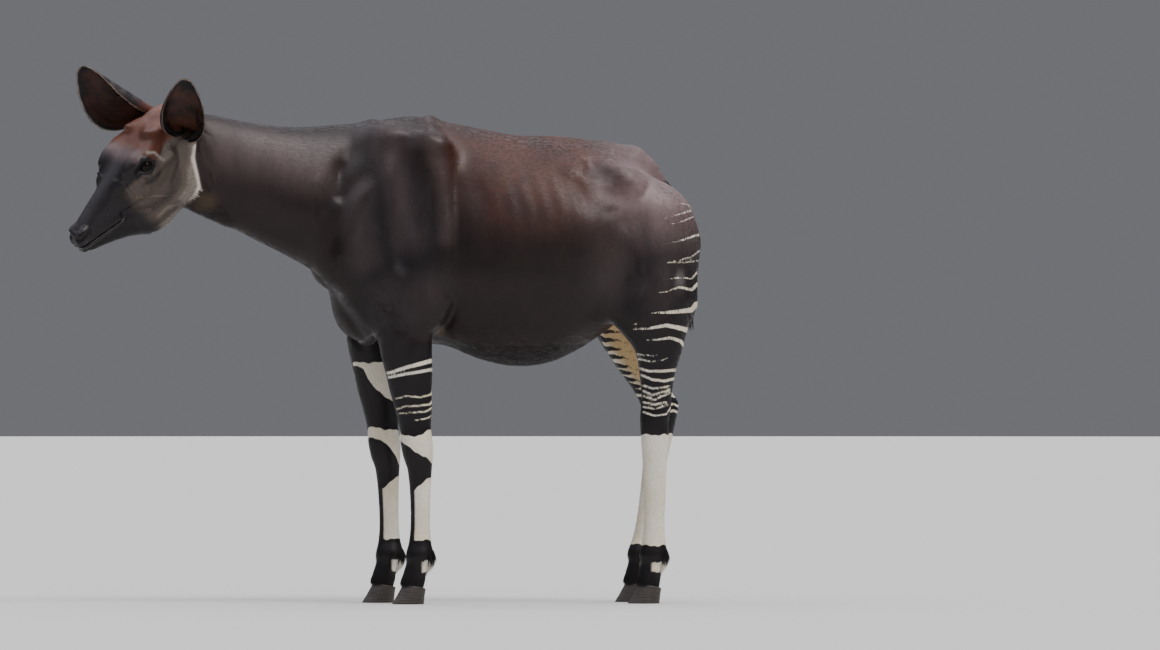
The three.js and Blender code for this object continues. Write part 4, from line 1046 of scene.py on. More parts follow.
# Each row: a line, how wide the colour is on it and how soft, and how strong
PALE_LINES = [
    # The jaw's pale rear edge, brightest along its rim as painted rim light
    ([(62, -48), (92, -108), (118, -158), (152, -186)], 2, 27, 0.95),
    ([(80, -40), (104, -100), (130, -148), (168, -172)], 10, 60, 0.58),
    ([(206, 54), (186, 39), (179, 15), (170, -8)], 1, 17, 0.64),
    ([(160, 0), (142, 2), (122, 14), (88, 22)], 8, 42, 0.56),
    ([(350, -100), (310, -112), (280, -130)], 3, 18, 0.42),
    # A painted highlight along the ridge of the vein
    ([(303, -56), (264, -90), (226, -116), (192, -140)], 0, 6, 0.45),
    ([(262, -168), (226, -166), (189, -184)], 2, 24, 0.55),
]
DARK_LINES = [
    # Painted shade in the groove in front of the jaw's rear edge
    ([(94, 3), (103, -31), (114, -65), (140, -84), (166, -104), (190, -128)], 2, 34, 0.3),
    ([(188, -128), (230, -132), (276, -128), (320, -108)], 3, 24, 0.4),
    ([(248, -30), (224, -42), (206, -34)], 4, 20, 0.5),
]
# Where the coat looks paler from its sheen, as place along X and height, in the same form
SHEEN_LINES = [
    ([(-920, 1380), (-760, 1355), (-640, 1330)], 0, 125, 0.34),
    ([(-500, 1270), (-506, 1180), (-486, 1060)], 0, 84, 0.17),
    ([(-408, 1440), (-396, 1330), (-366, 1240), (-352, 1120)], 0, 96, 0.2),
    ([(-270, 1400), (-244, 1300), (-238, 1200), (-244, 1120)], 0, 46, 0.2),
    ([(-400, 950), (-360, 930), (-300, 960)], 0, 120, 0.12),
    ([(250, 1150), (268, 1080), (262, 1000)], 0, 130, 0.14),
    ([(440, 1120), (450, 1040), (420, 960)], 0, 140, 0.15),
]


def painted(au, rows, start):
    """Lines of pale or dark added to a mask"""
    mask = start
    for line, inner, outer, strength in rows:
        mask = np.maximum(mask, strength * smooth(outer, inner, line_distance(au, line)[0]))
    return mask


def head_marks(q):
    """Pale, chestnut, slate, black and mauve of the face, from the head's own frame"""
    a, u = q[:, 0], q[:, 2]
    au = np.stack([a, u], 1)
    wide = np.abs(q[:, 1])
    top = smooth(-4, 24, u + 0.10 * (a - 150) - 8 * smooth(70, 50, wide))
    chestnut = top * smooth(262, 165, a)
    mauve = top * smooth(150, 215, a) * smooth(300, 255, a + 0.4 * wide)
    mauve *= smooth(18, 44, u - 0.5 * (wide - 50))
    bridge = smooth(222, 292, a + 0.35 * (u - 20) - 0.35 * wide) * smooth(-10, 20, u)
    slate = np.maximum(smooth(300, 352, a - 0.35 * (u + 60)), bridge)
    pale = 0.27 * smooth(22, -12, u) * smooth(350, 300, a)
    pale = painted(au, PALE_LINES, pale)
    pale = np.maximum(pale, 0.6 * smooth(-172, -206, u) * smooth(322, 270, a))
    pale *= 1 - painted(au, DARK_LINES, np.zeros(len(q))) * smooth(0.9, 0.6, pale)
    chestnut *= smooth(0.75, 0.4, pale)
    # Black under the mouth on the chin; black in and round the nostril's pit and along the slit
    # between the lips is painted shade in these hollows
    under = smooth(318, 356, a) * smooth(-16, -24, mouth_gap(q))
    black = np.maximum(under, smooth(4.5, 1.0, nostril_gap(q)))
    lips = smooth(3.4, 1.4, np.abs(mouth_gap(q))) * smooth(358, 368, a) * (u > -130)
    return np.array([pale, chestnut, slate, np.maximum(black, lips), mauve * (1 - chestnut)])


def eye_shade(q):
    """1 on the dark bare skin round the eye and in the tear trough"""
    dark = np.zeros(len(q))
    for side in SIDES:
        r, lon, lat = eye_angles(q, side)
        upper, lower = lid_edges(lon)
        beside = np.abs(lon) - LID_CORNER
        shade = (smooth(9, 4, np.maximum(lat - upper, beside) * EYE_DEGREE)
                 * smooth(20, 8, np.maximum(lower - lat, beside) * EYE_DEGREE))
        dark = np.maximum(dark, shade * (r < 52) * (q[:, 1] * side > 20))
    near = np.abs(q) * (1, 1, 0) + q * (0, 0, 1)
    tear = smooth(11, 4, line_distance(near, [(246, 74, 16), (272, 66, 24)])[0])
    return np.maximum(dark, tear)


def markings(p, n):
    """Three vectors a point for the coat's colours, alike for the skin and the tufts"""
    x, z = p[:, 0], p[:, 2]
    xz = p[:, [0, 2]]
    white = np.full(len(p), -40.0)
    dark = np.zeros(len(p))
    for leg in LEGS:
        fore = leg["name"] == "foreleg"
        top = 800 if fore else 1290
        mine = (p[:, 1] * leg["side"] > 0) & (z < top) & ((x < -150) if fore else (x > 215))
        here = np.flatnonzero(mine)
        if len(here) == 0:
            continue
        white[here] = leg_white(leg, p[here], n[here])
        dark[here] = np.maximum(dark[here], smooth(940, 760, z[here]))
    dark = np.maximum(dark, spot(xz, (-400, 1120), (150, 310), 0.5))
    dark = np.maximum(dark, spot(xz, (430, 960), (130, 150), 0.55))
    dark = np.maximum(dark, 0.7 * smooth(820, 740, z))
    # Painted shade in the hollow of the flank: darker there, and with less of the painted sheen
    hollow_shade = spot(xz, (262, 1302), (70, 30), 0.9)
    dark = np.maximum(dark, 0.4 * hollow_shade)
    red = spot(xz, (40, 1350), (330, 165), 0.7) * (1 - 0.6 * dark)
    side = np.abs(p[:, 1])
    inner = smooth(116, 96, side) * smooth(610, 680, z) * smooth(960, 900, z) * (x > 215)
    red = np.maximum(red, inner)
    # Paler mauve-grey in this channel: on the rump partly the coat's own tone and partly painted
    # sheen, along the sheen lines painted sheen alone; the forehead's mauve joins it below
    rump = spot(xz, (440, 1290), (175, 160), 0.75) * (1 - 0.5 * hollow_shade)
    rump = np.maximum(rump, painted(xz, SHEEN_LINES, np.zeros(len(p))) * smooth(20, 60, side))
    tan = spot(xz, (-978, 1230), (30, 24), 0.8) * 0.55
    tan = np.maximum(tan, 0.4 * spot(xz, (-245, 832), (12, 16), 0.5) * smooth(60, 90, side))
    q = HEAD.inside(p)
    face = np.zeros((5, len(p)))
    pale, chestnut, slate, black, mauve = face
    mine = np.flatnonzero((from_head(p) < HEAD_REACH) & (q[:, 0] > -40))
    if len(mine):
        blur = mix(26, 4, smooth(10, -30, q[mine, 2]))
        own = smooth(-blur, blur, q[mine, 0] - height_at(q[mine, 2], JAW_EDGE))
        face[:, mine] = head_marks(q[mine]) * own
        around = eye_shade(q[mine])
        slate[mine] = np.maximum(slate[mine], around)
        black[mine] = np.maximum(black[mine], 0.45 * around)
    rump = np.maximum(rump, mauve)
    return (np.stack([np.clip(white, -20, 20), black, tan], 1), np.stack([red, dark, rump], 1),
            np.stack([pale, chestnut, slate], 1))


# Materials
def linear(*channels):
    """Display values from 0 to 255 as linear light"""
    values = [c / 255 for c in channels]
    return tuple(v / 12.92 if v <= 0.04045 else ((v + 0.055) / 1.055) ** 2.4 for v in values)


# Colours that vary, each by its two ends
BROWN = (linear(23, 15, 13), linear(32, 21, 18))
RED_BROWN = (linear(52, 25, 12), linear(76, 39, 21))
FACE_PALE = (linear(98, 87, 78), linear(226, 214, 203))
CHESTNUT = (linear(80, 46, 35), linear(108, 66, 51))
SLATE = (linear(19, 17, 19), linear(33, 30, 34))
CREAM = (linear(226, 215, 188), linear(238, 232, 220))
EAR_BACK = (linear(28, 22, 24), linear(48, 36, 38))
EAR_CUP = (linear(22, 12, 9), linear(58, 31, 21))
IRIS = (linear(14, 9, 6), linear(30, 18, 10))
CLAW = (linear(32, 27, 24), linear(58, 50, 44))
# Colours of one tone
LEG_DARK = linear(13, 11, 13)
# The paler mauve-grey used for painted sheen on the coat and for the forehead's own mauve
MAUVE_AND_PAINTED_SHEEN = linear(122, 103, 103)
TAN = linear(98, 80, 56)
MUZZLE_BLACK = linear(13, 11, 12)
INNER_LEG = linear(198, 172, 126)
SHEEN = linear(190, 170, 185)
EAR_ROOT = linear(92, 50, 38)
CUP_ROOT = linear(96, 58, 42)
CUP_RIM = linear(20, 18, 22)
EAR_EDGE = linear(140, 118, 104)
IRIS_RIM = linear(16, 10, 8)
PUPIL = linear(4, 4, 6)
CLAW_WORN = linear(92, 82, 70)


class Nodes:
    """Short ways to build one material"""

    def __init__(self, name):
        self.material = bpy.data.materials.new(name)
        self.material.use_nodes = True
        self.tree = self.material.node_tree
        self.shader = self.tree.nodes["Principled BSDF"]

    def new(self, kind, **values):
        node = self.tree.nodes.new(kind)
        for key, value in values.items():
            setattr(node, key, value)
        return node

    def put(self, socket, value):
        if isinstance(value, bpy.types.NodeSocket):
            self.tree.links.new(value, socket)
        elif isinstance(value, tuple) and len(value) == 3 and socket.type == "RGBA":
            socket.default_value = (*value, 1)
        else:
            socket.default_value = value

    def attribute(self, name):
        return self.new("ShaderNodeAttribute", attribute_name=name)

    def split(self, name):
        node = self.new("ShaderNodeSeparateXYZ")
        self.put(node.inputs[0], self.attribute(name).outputs["Vector"])
        return list(node.outputs)

    def math(self, operation, *values):
        node = self.new("ShaderNodeMath", operation=operation)
        for socket, value in zip(node.inputs, values):
            self.put(socket, value)
        return node.outputs[0]

    def ragged(self, mask, grain, amount):
        """The mask with its edge broken up by the grain"""
        offset = self.math("MULTIPLY", self.math("SUBTRACT", grain, 0.5), amount)
        return self.math("ADD", mask, offset)

    def mix(self, factor, a, b, blend="MIX"):
        node = self.new("ShaderNodeMix", data_type="RGBA", blend_type=blend)
        self.put(node.inputs[0], factor)
        self.put(node.inputs[6], a)
        self.put(node.inputs[7], b)
        return node.outputs[2]

    def step(self, value, low, high):
        node = self.new("ShaderNodeMapRange", interpolation_type="SMOOTHSTEP")
        for i, v in enumerate((value, low, high, 0.0, 1.0)):
            self.put(node.inputs[i], v)
        return node.outputs[0]

    def fade(self, value, low, high, first, second):
        """The colour first where value is under low, second where it is over high"""
        return self.mix(self.step(value, low, high), first, second)

    def noise(self, vector, scale, detail=3.0, rough=0.55, stretch=None):
        if stretch:
            mapping = self.new("ShaderNodeMapping")
            self.put(mapping.inputs["Vector"], vector)
            mapping.inputs["Scale"].default_value = stretch
            vector = mapping.outputs[0]
        node = self.new("ShaderNodeTexNoise")
        self.put(node.inputs["Vector"], vector)
        node.inputs["Scale"].default_value = scale
        node.inputs["Detail"].default_value = detail
        node.inputs["Roughness"].default_value = rough
        return node.outputs["Fac"]

    def bump(self, height, strength, distance):
        node = self.new("ShaderNodeBump")
        node.inputs["Strength"].default_value = strength
        node.inputs["Distance"].default_value = distance
        self.put(node.inputs["Height"], height)
        self.put(self.shader.inputs["Normal"], node.outputs[0])

    def finish(self, colour, roughness, **values):
        self.put(self.shader.inputs["Base Color"], colour)
        self.put(self.shader.inputs["Roughness"], roughness)
        for key, value in values.items():
            self.put(self.shader.inputs[key.replace("_", " ")], value)
        return self.material


def coat_material(name, tufts):
    """The coat's colours from the markings; tufts also vary from one to the next"""
    m = Nodes(name)
    place = m.attribute("spot").outputs["Vector"]
    white, black, tan = m.split("marks_a")
    red, dark, rump = m.split("marks_b")
    pale, chestnut, slate = m.split("marks_c")
    tone, tip, _ = m.split("look")
    broad = m.noise(place, 7.0, 4.0)
    fine = m.noise(place, 120.0, 3.0)
    # Painted sheen on the coat, with the forehead's mauve, broken into streaks
    streaks = m.noise(place, 16.0, 3.0, stretch=(1.0, 1.0, 0.22))
    mauve_and_painted_sheen = m.math("MULTIPLY", rump, m.math("ADD", 0.35, streaks))
    rough_pale = m.ragged(pale, fine, 0.18)
    colour = m.fade(broad, 0.3, 0.7, *BROWN)
    colour = m.mix(red, colour, m.fade(broad, 0.35, 0.65, *RED_BROWN))
    colour = m.mix(dark, colour, LEG_DARK)
    colour = m.mix(mauve_and_painted_sheen, colour, MAUVE_AND_PAINTED_SHEEN)
    colour = m.mix(tan, colour, TAN)
    colour = m.fade(rough_pale, 0.02, 0.4, colour, m.fade(rough_pale, 0.45, 0.95, *FACE_PALE))
    colour = m.fade(m.ragged(chestnut, fine, 0.4), 0.15, 0.85, colour,
                    m.fade(broad, 0.35, 0.65, *CHESTNUT))
    colour = m.mix(slate, colour, m.fade(broad, 0.3, 0.7, *SLATE))
    colour = m.fade(black, 0.3, 0.7, colour, MUZZLE_BLACK)
    cream = m.mix(red, m.fade(broad, 0.3, 0.75, *CREAM), INNER_LEG)
    colour = m.fade(m.ragged(white, fine, 1.4), -1.1, 1.1, colour, cream)
    if tufts:
        shade = m.math("MULTIPLY_ADD", tone, 0.5, 0.75)
        shade = m.math("MULTIPLY", shade, m.math("ADD", 0.86, m.math("MULTIPLY", tip, 0.24)))
    else:
        shade = m.math("MULTIPLY_ADD", tone, 0.0, 0.85)
    colour = m.mix(1.0, colour, shade, blend="MULTIPLY")
    hair = m.noise(place, 900.0, 2.0, stretch=(0.25, 1.0, 0.6))
    m.bump(hair, 0.25, 0.0012)
    return m.finish(colour, m.math("ADD", 0.31, m.math("MULTIPLY", fine, 0.14)),
                    Sheen_Weight=0.03, Sheen_Roughness=0.35, Sheen_Tint=SHEEN,
                    Specular_IOR_Level=0.34, Specular_Tint=(0.9, 0.84, 0.86, 1))


def ear_material(name):
    """ear is 1 inside the cup, the way up, and the distance from the edge"""
    m = Nodes(name)
    place = m.attribute("spot").outputs["Vector"]
    inside, up, edge = m.split("ear")
    tone = m.split("look")[0]
    broad = m.noise(place, 22.0, 4.0)
    fine = m.noise(place, 300.0, 3.0)
    outer = m.fade(up, 0.32, 0.0, m.fade(broad, 0.35, 0.65, *EAR_BACK), EAR_ROOT)
    root = m.math("MULTIPLY", m.step(up, 0.5, 0.05), 0.7)
    inner = m.mix(root, m.fade(broad, 0.35, 0.65, *EAR_CUP), CUP_ROOT)
    inner = m.fade(m.ragged(edge, broad, 10.0), 19.0, 9.0, inner, CUP_RIM)
    colour = m.fade(edge, 1.6, 0.4, m.mix(inside, outer, inner), EAR_EDGE)
    colour = m.mix(1.0, colour, m.math("MULTIPLY_ADD", tone, 0.5, 0.75), blend="MULTIPLY")
    m.bump(fine, 0.3, 0.001)
    return m.finish(colour, m.math("ADD", 0.5, m.math("MULTIPLY", fine, 0.2)),
                    Sheen_Weight=0.03, Sheen_Roughness=0.35, Sheen_Tint=SHEEN,
                    Specular_IOR_Level=0.3)


def eye_material():
    """look is the two places across the cornea and the angle from its middle, in degrees"""
    m = Nodes("eye")
    across, above, off = m.split("look")
    rays = m.noise(m.attribute("look").outputs["Vector"], 0.35, 4.0, stretch=(1.0, 1.0, 0.1))
    colour = m.fade(off, 40.0, 48.0, m.fade(rays, 0.3, 0.7, *IRIS), IRIS_RIM)
    squares = [m.math("POWER", m.math("DIVIDE", place, half), 2.0)
               for place, half in ((across, 26.0), (above, 12.0))]
    slot = m.math("POWER", m.math("ADD", *squares), 0.5)
    colour = m.fade(slot, 1.15, 0.9, colour, PUPIL)
    m.bump(rays, 0.05, 0.0005)
    return m.finish(colour, m.math("ADD", 0.04, m.math("MULTIPLY", rays, 0.04)),
                    Specular_IOR_Level=0.13)


def horn_material():
    """Rings of growth, and a grain that runs up and down"""
    m = Nodes("hoof_horn")
    coords = m.new("ShaderNodeTexCoord").outputs["Object"]
    growth = m.noise(coords, 60.0, 4.0, stretch=(0.4, 0.4, 6.0))
    grain = m.noise(coords, 240.0, 3.0, stretch=(1.0, 1.0, 0.15))
    colour = m.fade(grain, 0.62, 0.8, m.fade(growth, 0.3, 0.7, *CLAW), CLAW_WORN)
    m.bump(m.math("ADD", growth, m.math("MULTIPLY", grain, 0.5)), 0.5, 0.002)
    return m.finish(colour, m.math("ADD", 0.38, m.math("MULTIPLY", grain, 0.25)))


# The lie of the coat
def lie_of_coat(p, n):
    """The way the hair points at each place, along the surface"""
    q = HEAD.inside(p)
    k = NECK.inside(p)
    x, z = p[:, 0], p[:, 2]
    side = np.sign(p[:, 1])
    trunk = np.stack([np.full(len(p), 1.0), 0.1 * side, -0.55 * smooth(1440, 1250, z)], 1)
    front = smooth(-180, -380, x)[:, None]
    trunk = mix(trunk, arr(0.35, 0, -1), front * 0.8)
    rear = smooth(260, 400, x)[:, None] * smooth(1320, 1180, z)[:, None]
    trunk = mix(trunk, arr(0.2, 0, -1), rear)
    legs = smooth(900, 760, z)[:, None]
    trunk = mix(trunk, arr(0.05, 0, -1), legs * ((x < -230) | (x > 260))[:, None])
    throat = -NECK.axes[0] + arr(0, 0, -0.55) * smooth(140, 60, k[:, 2])[:, None]
    flow = mix(trunk, throat, smooth(60, 220, k[:, 0])[:, None])
    away = -HEAD.axes[0] + 0.45 * smooth(20, -60, q[:, 2])[:, None] * -HEAD.axes[2]
    away = away + 0.25 * np.sign(q[:, 1])[:, None] * HEAD.axes[1]
    head = smooth(0, 70, q[:, 0]) * (from_head(p) < HEAD_REACH)
    flow = flattened(unit(mix(unit(flow), unit(away), head[:, None])), n)
    length = norms(flow)[:, None]
    beside = unit(np.cross(n, arr(0, 1, 0.1)))
    return np.where(length > 0.1, flow / np.maximum(length, 0.1), beside)


def turn_about(v, axis, angle):
    c, s = np.cos(angle)[:, None], np.sin(angle)[:, None]
    along = dots(v, axis)[:, None] * axis
    return v * c + np.cross(axis, v) * s + along * (1 - c)


# Half the size of a tuft's patch on the unwrap, and how far its sides' normals lean outwards
PATCH = 0.0015
TILT = 0.4
# Of either kind of tuft: its triangles, its patch, the side that each point's normal leans to, and
# how far along the tuft each point lies
SHORT_TUFT = {
    "faces": np.array([(2, 3, 0), (2, 1, 3), (0, 3, 1), (0, 1, 2)]),
    "patch": np.array([(-1, -1), (1, -1), (0, -0.3), (0, 1)]) * PATCH,
    "lean": (1, -1, 0, 0), "along": (0, 0, 0, 1),
}
LONG_TUFT = {
    "faces": np.array([(2, 5, 3), (2, 3, 0), (1, 4, 5), (1, 5, 2), (0, 3, 4), (0, 4, 1),
                       (0, 1, 2), (5, 6, 3), (4, 6, 5), (3, 6, 4)]),
    "patch": np.array([(-1, -1), (1, -1), (0, -0.6), (-0.6, 0), (0.6, 0), (0, 0.3),
                       (0, 1)]) * PATCH,
    "lean": (1, -1, 0, 1, -1, 0, 0), "along": (0, 0, 0, 0.5, 0.5, 0.5, 1),
}


def add_tufts(name, roots, normals, ways, length, width, lift, chart, marks, ends, material,
              long=False, droop=0.0, sink=0.8, slot="body_coat"):
    """Closed, pointed tufts lying along the skin; long ones bend in the middle"""
    count = len(roots)
    length, width, lift = (np.broadcast_to(v, count)[:, None] for v in (length, width, lift))
    half = np.cross(normals, ways) * width / 2
    thick = normals * width * 0.22
    base = roots - normals * sink
    tip = roots + ways * length + normals * lift + arr(0, 0, -1) * droop * length
    if long:
        tuft = LONG_TUFT
        middle = roots + ways * length * 0.5 + normals * (lift * 0.75)
        middle = middle + arr(0, 0, -0.3) * droop * length
        shape = [base + half, base - half, base + thick + normals * 0.6,
                 middle + half * 0.8, middle - half * 0.8, middle + thick, tip]
    else:
        tuft = SHORT_TUFT
        shape = [base + half, base - half, base + thick + normals * sink * 0.6, tip]
    each = len(shape)
    points = np.stack(shape, 1).reshape(-1, 3)
    every = (tuft["faces"][None] + each * np.arange(count)[:, None, None]).reshape(-1, 3)
    shown = np.stack([normals + TILT * lean * unit(half) for lean in tuft["lean"]], 1)
    obj = make_mesh(name, points, every, normals=unit(shown).reshape(-1, 3))
    layer = obj.data.uv_layers.new(name="OFBake")
    spots = (np.clip(chart, 0.002, 0.998)[:, None] + tuft["patch"][None]).reshape(-1, 2)
    layer.data.foreach_set("uv", spots[every.ravel()].astype(np.float32).ravel())
    share = np.array(tuft["along"])[None, :, None]
    for key, values in marks.items():
        set_vectors(obj, key, mix(values[:, None], ends[key][:, None], share).reshape(-1, 3))
    set_vectors(obj, "spot", np.repeat(metres(roots), each, axis=0))
    look = np.zeros((count, each, 3))
    look[:, :, 0] = rng.random(count)[:, None]
    look[:, :, 1] = tuft["along"]
    set_vectors(obj, "look", look.reshape(-1, 3))
    finish_piece(obj, material, slot)


def vertex_normals(points, triangles):
    a, b, c = (points[triangles[:, i]] for i in range(3))
    face = np.cross(b - a, c - a)
    total = np.zeros_like(points)
    for i in range(3):
        for axis in range(3):
            total[:, axis] += np.bincount(triangles[:, i], face[:, axis], len(points))
    return unit(total)


def scatter(points, triangles, normals, area_each):
    """Root places spread evenly, one for about so many square millimetres of each triangle"""
    a, b, c = (points[triangles[:, i]] for i in range(3))
    area = norms(np.cross(b - a, c - a)) / 2
    wanted = area / area_each((a + b + c) / 3)
    total = np.cumsum(wanted)
    ticks = np.arange(int(total[-1])) + rng.random(int(total[-1]))
    chosen = np.minimum(np.searchsorted(total, ticks), len(triangles) - 1)
    r = np.sqrt(rng.random(len(chosen)))[:, None]
    t = rng.random(len(chosen))[:, None]
    corner = triangles[chosen]
    spread = (1 - r, r * (1 - t), r * t)
    root = sum(points[corner[:, i]] * spread[i] for i in range(3))
    normal = unit(sum(normals[corner[:, i]] * spread[i] for i in range(3)))
    return root, normal


# Where each part of the coat lies on its own unwrap
def turn_share(across, up):
    """The angle about a middle line as a share of a whole turn"""
    return np.arctan2(across, up) / (2 * math.pi) + 0.5


def unwrap(p):
    """The coat's part of each place, by its number in COAT_NAMES, and its spot on its unwrap"""
    q, k = HEAD.inside(p), NECK.inside(p)
    x, z = p[:, 0], p[:, 2]
    part = np.where(x > 30, 2, 1)
    around = turn_share(p[:, 1], z - 1090)
    uv = np.stack([around, np.where(x > 30, (x - 30) / 560, (x + 640) / 670)], 1)
    fore = (z < 800) & (x < -190)
    hind = (z < 850) & (x > 215)
    for mine, number, legs in ((fore, 4, LEGS[:2]), (hind, 5, LEGS[2:])):
        part[mine] = number
        for i, leg in enumerate(legs):
            own = mine & (p[:, 1] * leg["side"] > 0)
            middle = leg["table"](np.clip(z[own], LEG_FOOT, LEG_TOP))[0]
            around = turn_share(p[own, 1] - leg_middle(leg, z[own]), x[own] - middle)
            uv[own] = np.stack([(around + i) / 2, z[own] / 880], 1)
    neck = k[:, 0] > 135
    part[neck] = 3
    uv[neck] = np.stack([turn_share(k[neck, 1], k[neck, 2]), (k[neck, 0] - 135) / 620], 1)
    head = (q[:, 0] > 19) & (from_head(p) < HEAD_REACH)
    part[head] = 0
    uv[head] = np.stack([turn_share(q[head, 1], q[head, 2] + 50), q[head, 0] / 540], 1)
    return part, uv


MARKS = ("marks_a", "marks_b", "marks_c")
COAT_NAMES = ("coat_head", "coat_front", "coat_back", "coat_neck", "coat_forelegs",
              "coat_hindlegs")
COAT_SLOTS = ("face_coat", "body_coat", "body_coat", "body_coat", "leg_coat", "leg_coat")
MOST_TUFTS = 48000


def bare(p):
    """1 where the skin is bare: lips, nostrils, lids and the eyes"""
    q = HEAD.inside(p)
    near = from_head(p) < FACE_REACH
    off = np.maximum(366 - q[:, 0], 0) + np.abs(mouth_gap(q) + 6)
    none = (off < 10) | (nostril_gap(q) < 2.5) | (q[:, 0] > 508)
    for side in SIDES:
        r, lon, lat = eye_angles(q, side)
        upper, lower = lid_edges(lon)
        none |= (r < 36) & (lat < upper + 12) & (lat > lower - 16) & (np.abs(lon) < 76)
    low = p[:, 2] < 58
    return (near & none) | low


def tuft_length(p):
    """Shortest on the muzzle and on the feet"""
    face = mix(6.5, 3.5, smooth(240, 440, HEAD.inside(p)[:, 0]))
    length = mix(face, 14.0, smooth(270, 430, from_head(p)))
    return np.minimum(length, mix(9.0, 15.0, smooth(600, 900, p[:, 2])))


def marks_of(p, n):
    return dict(zip(MARKS, markings(p, n)))


def set_marks(obj, points, marks):
    """The colour vectors of a piece that has no tufts"""
    for key, values in marks.items():
        set_vectors(obj, key, values)
    set_vectors(obj, "spot", metres(points))
    set_vectors(obj, "look", np.full((len(points), 3), 0.5))


def add_skin(points, triangles, normals):
    obj = make_mesh("okapi_skin", points, triangles)
    set_marks(obj, points, marks_of(points, normals))
    legs = [f"{leg['name']}_{part}_{leg['side_name']}" for leg in LEGS
            for part in ("upper", "lower")]
    finish_piece(obj, SKIN, "body_coat", "head", "neck", "torso", *legs)


def short_coat(points, triangles, normals):
    """Short tufts over the whole skin, in pieces by the coat's parts"""
    def area_each(p):
        length = tuft_length(p)
        return length * length * 0.155 * THIN

    root, normal = scatter(points, triangles, normals, area_each)
    keep = ~bare(root)
    root, normal = root[keep], normal[keep]
    length = tuft_length(root) * (0.75 + 0.5 * rng.random(len(root)))
    way = turn_about(lie_of_coat(root, normal), normal, rng.normal(0, 0.16, len(root)))
    part, uv = unwrap(root)
    marks = marks_of(root, normal)
    ends = marks_of(root + way * length[:, None] * 0.8, normal)
    for i, (name, slot) in enumerate(zip(COAT_NAMES, COAT_SLOTS)):
        mine = np.flatnonzero(part == i)
        pieces = max(1, math.ceil(len(mine) / MOST_TUFTS))
        for j in range(pieces):
            m = mine[j::pieces]
            add_tufts(name if pieces == 1 else f"{name}_{j + 1}", root[m], normal[m], way[m],
                      length[m], length[m] * 0.15, length[m] * 0.05 + 0.25, uv[m],
                      {key: values[m] for key, values in marks.items()},
                      {key: values[m] for key, values in ends.items()}, COAT,
                      sink=0.5, slot=slot)


def long_coat(skin_parts, name, places, area_each, length, width, lift, droop, slot="leg_coat"):
    """Longer tufts where the coat breaks the outline, on the triangles that places picks"""
    points, triangles, normals = skin_parts
    picked = triangles[places(points[triangles].mean(1))]
    root, normal = scatter(points, picked, normals,
                           lambda p: np.full(len(p), area_each * THIN))
    lie = turn_about(lie_of_coat(root, normal), normal, rng.normal(0, 0.22, len(root)))
    sizes = length * (0.7 + 0.6 * rng.random(len(root)))
    marks = marks_of(root, normal)
    add_tufts(name, root, normal, lie, sizes, width, lift, unwrap(root)[1], marks, marks, COAT,
              long=True, droop=droop, sink=0.6, slot=slot)


def on_jaw(p):
    q = HEAD.inside(p)
    close = from_head(p) < 400
    return close & (q[:, 0] > 110) & (q[:, 0] < 320) & (q[:, 2] < -168 - 0.12 * (q[:, 0] - 200))


def behind_foot(p):
    """Place along X behind the middle of the nearest foot"""
    behind = np.full(len(p), 1e3)
    for leg in LEGS:
        x = p[:, 0] - leg["rows"][0][1]
        mine = (p[:, 1] * leg["side"] > 0) & (np.abs(x) < 130)
        behind = np.where(mine, x, behind)
    return behind


def at_fetlock(p):
    behind = behind_foot(p)
    return (p[:, 2] > 96) & (p[:, 2] < 168) & (behind > 22) & (behind < 200)


def at_coronet(p):
    return (p[:, 2] > 46) & (p[:, 2] < 84) & (behind_foot(p) < 200)


def at_belly_edge(p):
    return (p[:, 2] < 790) & (p[:, 2] > 690) & (p[:, 0] > -180) & (p[:, 0] < 240)


# The tail
TAIL_LINE = [(432, 1298), (460, 1284), (488, 1246), (510, 1188), (524, 1112), (531, 1040),
             (533, 960)]
TAIL_LINE = [(x, 0, z) for x, z in TAIL_LINE]
TAIL_RINGS = 70
TAIL_ROUND = 20
TUFT_HAIRS = 900


def smooth_line(points, part):
    """A Catmull-Rom curve through points, at parts from 0 to 1"""
    points = np.asarray(points, float)
    last = len(points) - 1
    place = np.clip(part, 0, 1) * last
    i = np.minimum(place.astype(int), last - 1)
    t = (place - i)[:, None]
    before, after = points[np.maximum(i - 1, 0)], points[np.minimum(i + 2, last)]
    a, b = points[i], points[i + 1]
    return a + 0.5 * t * (b - before + t * (2 * before - 5 * a + 4 * b - after
                                            + t * (3 * (a - b) + after - before)))


def outwards(points, triangles):
    """The triangles of a closed shape, turned to face out of it"""
    a, b, c = (points[triangles[:, i]] for i in range(3))
    volume = np.einsum("ij,ij->", a, np.cross(b, c))
    return triangles if volume > 0 else triangles[:, ::-1]


def ring_faces(rings, around):
    """Triangles between rings of points, and fans from the two points that follow them"""
    i, j = np.meshgrid(np.arange(rings - 1), np.arange(around), indexing="ij")
    a, b = (i * around + j).ravel(), (i * around + (j + 1) % around).ravel()
    first = np.arange(around)
    after = (first + 1) % around
    last = (rings - 1) * around
    ends = rings * around
    return np.concatenate([
        np.stack([a, b, b + around], 1), np.stack([a, b + around, a + around], 1),
        np.stack([np.full(around, ends), after, first], 1),
        np.stack([np.full(around, ends + 1), last + first, last + after], 1)])


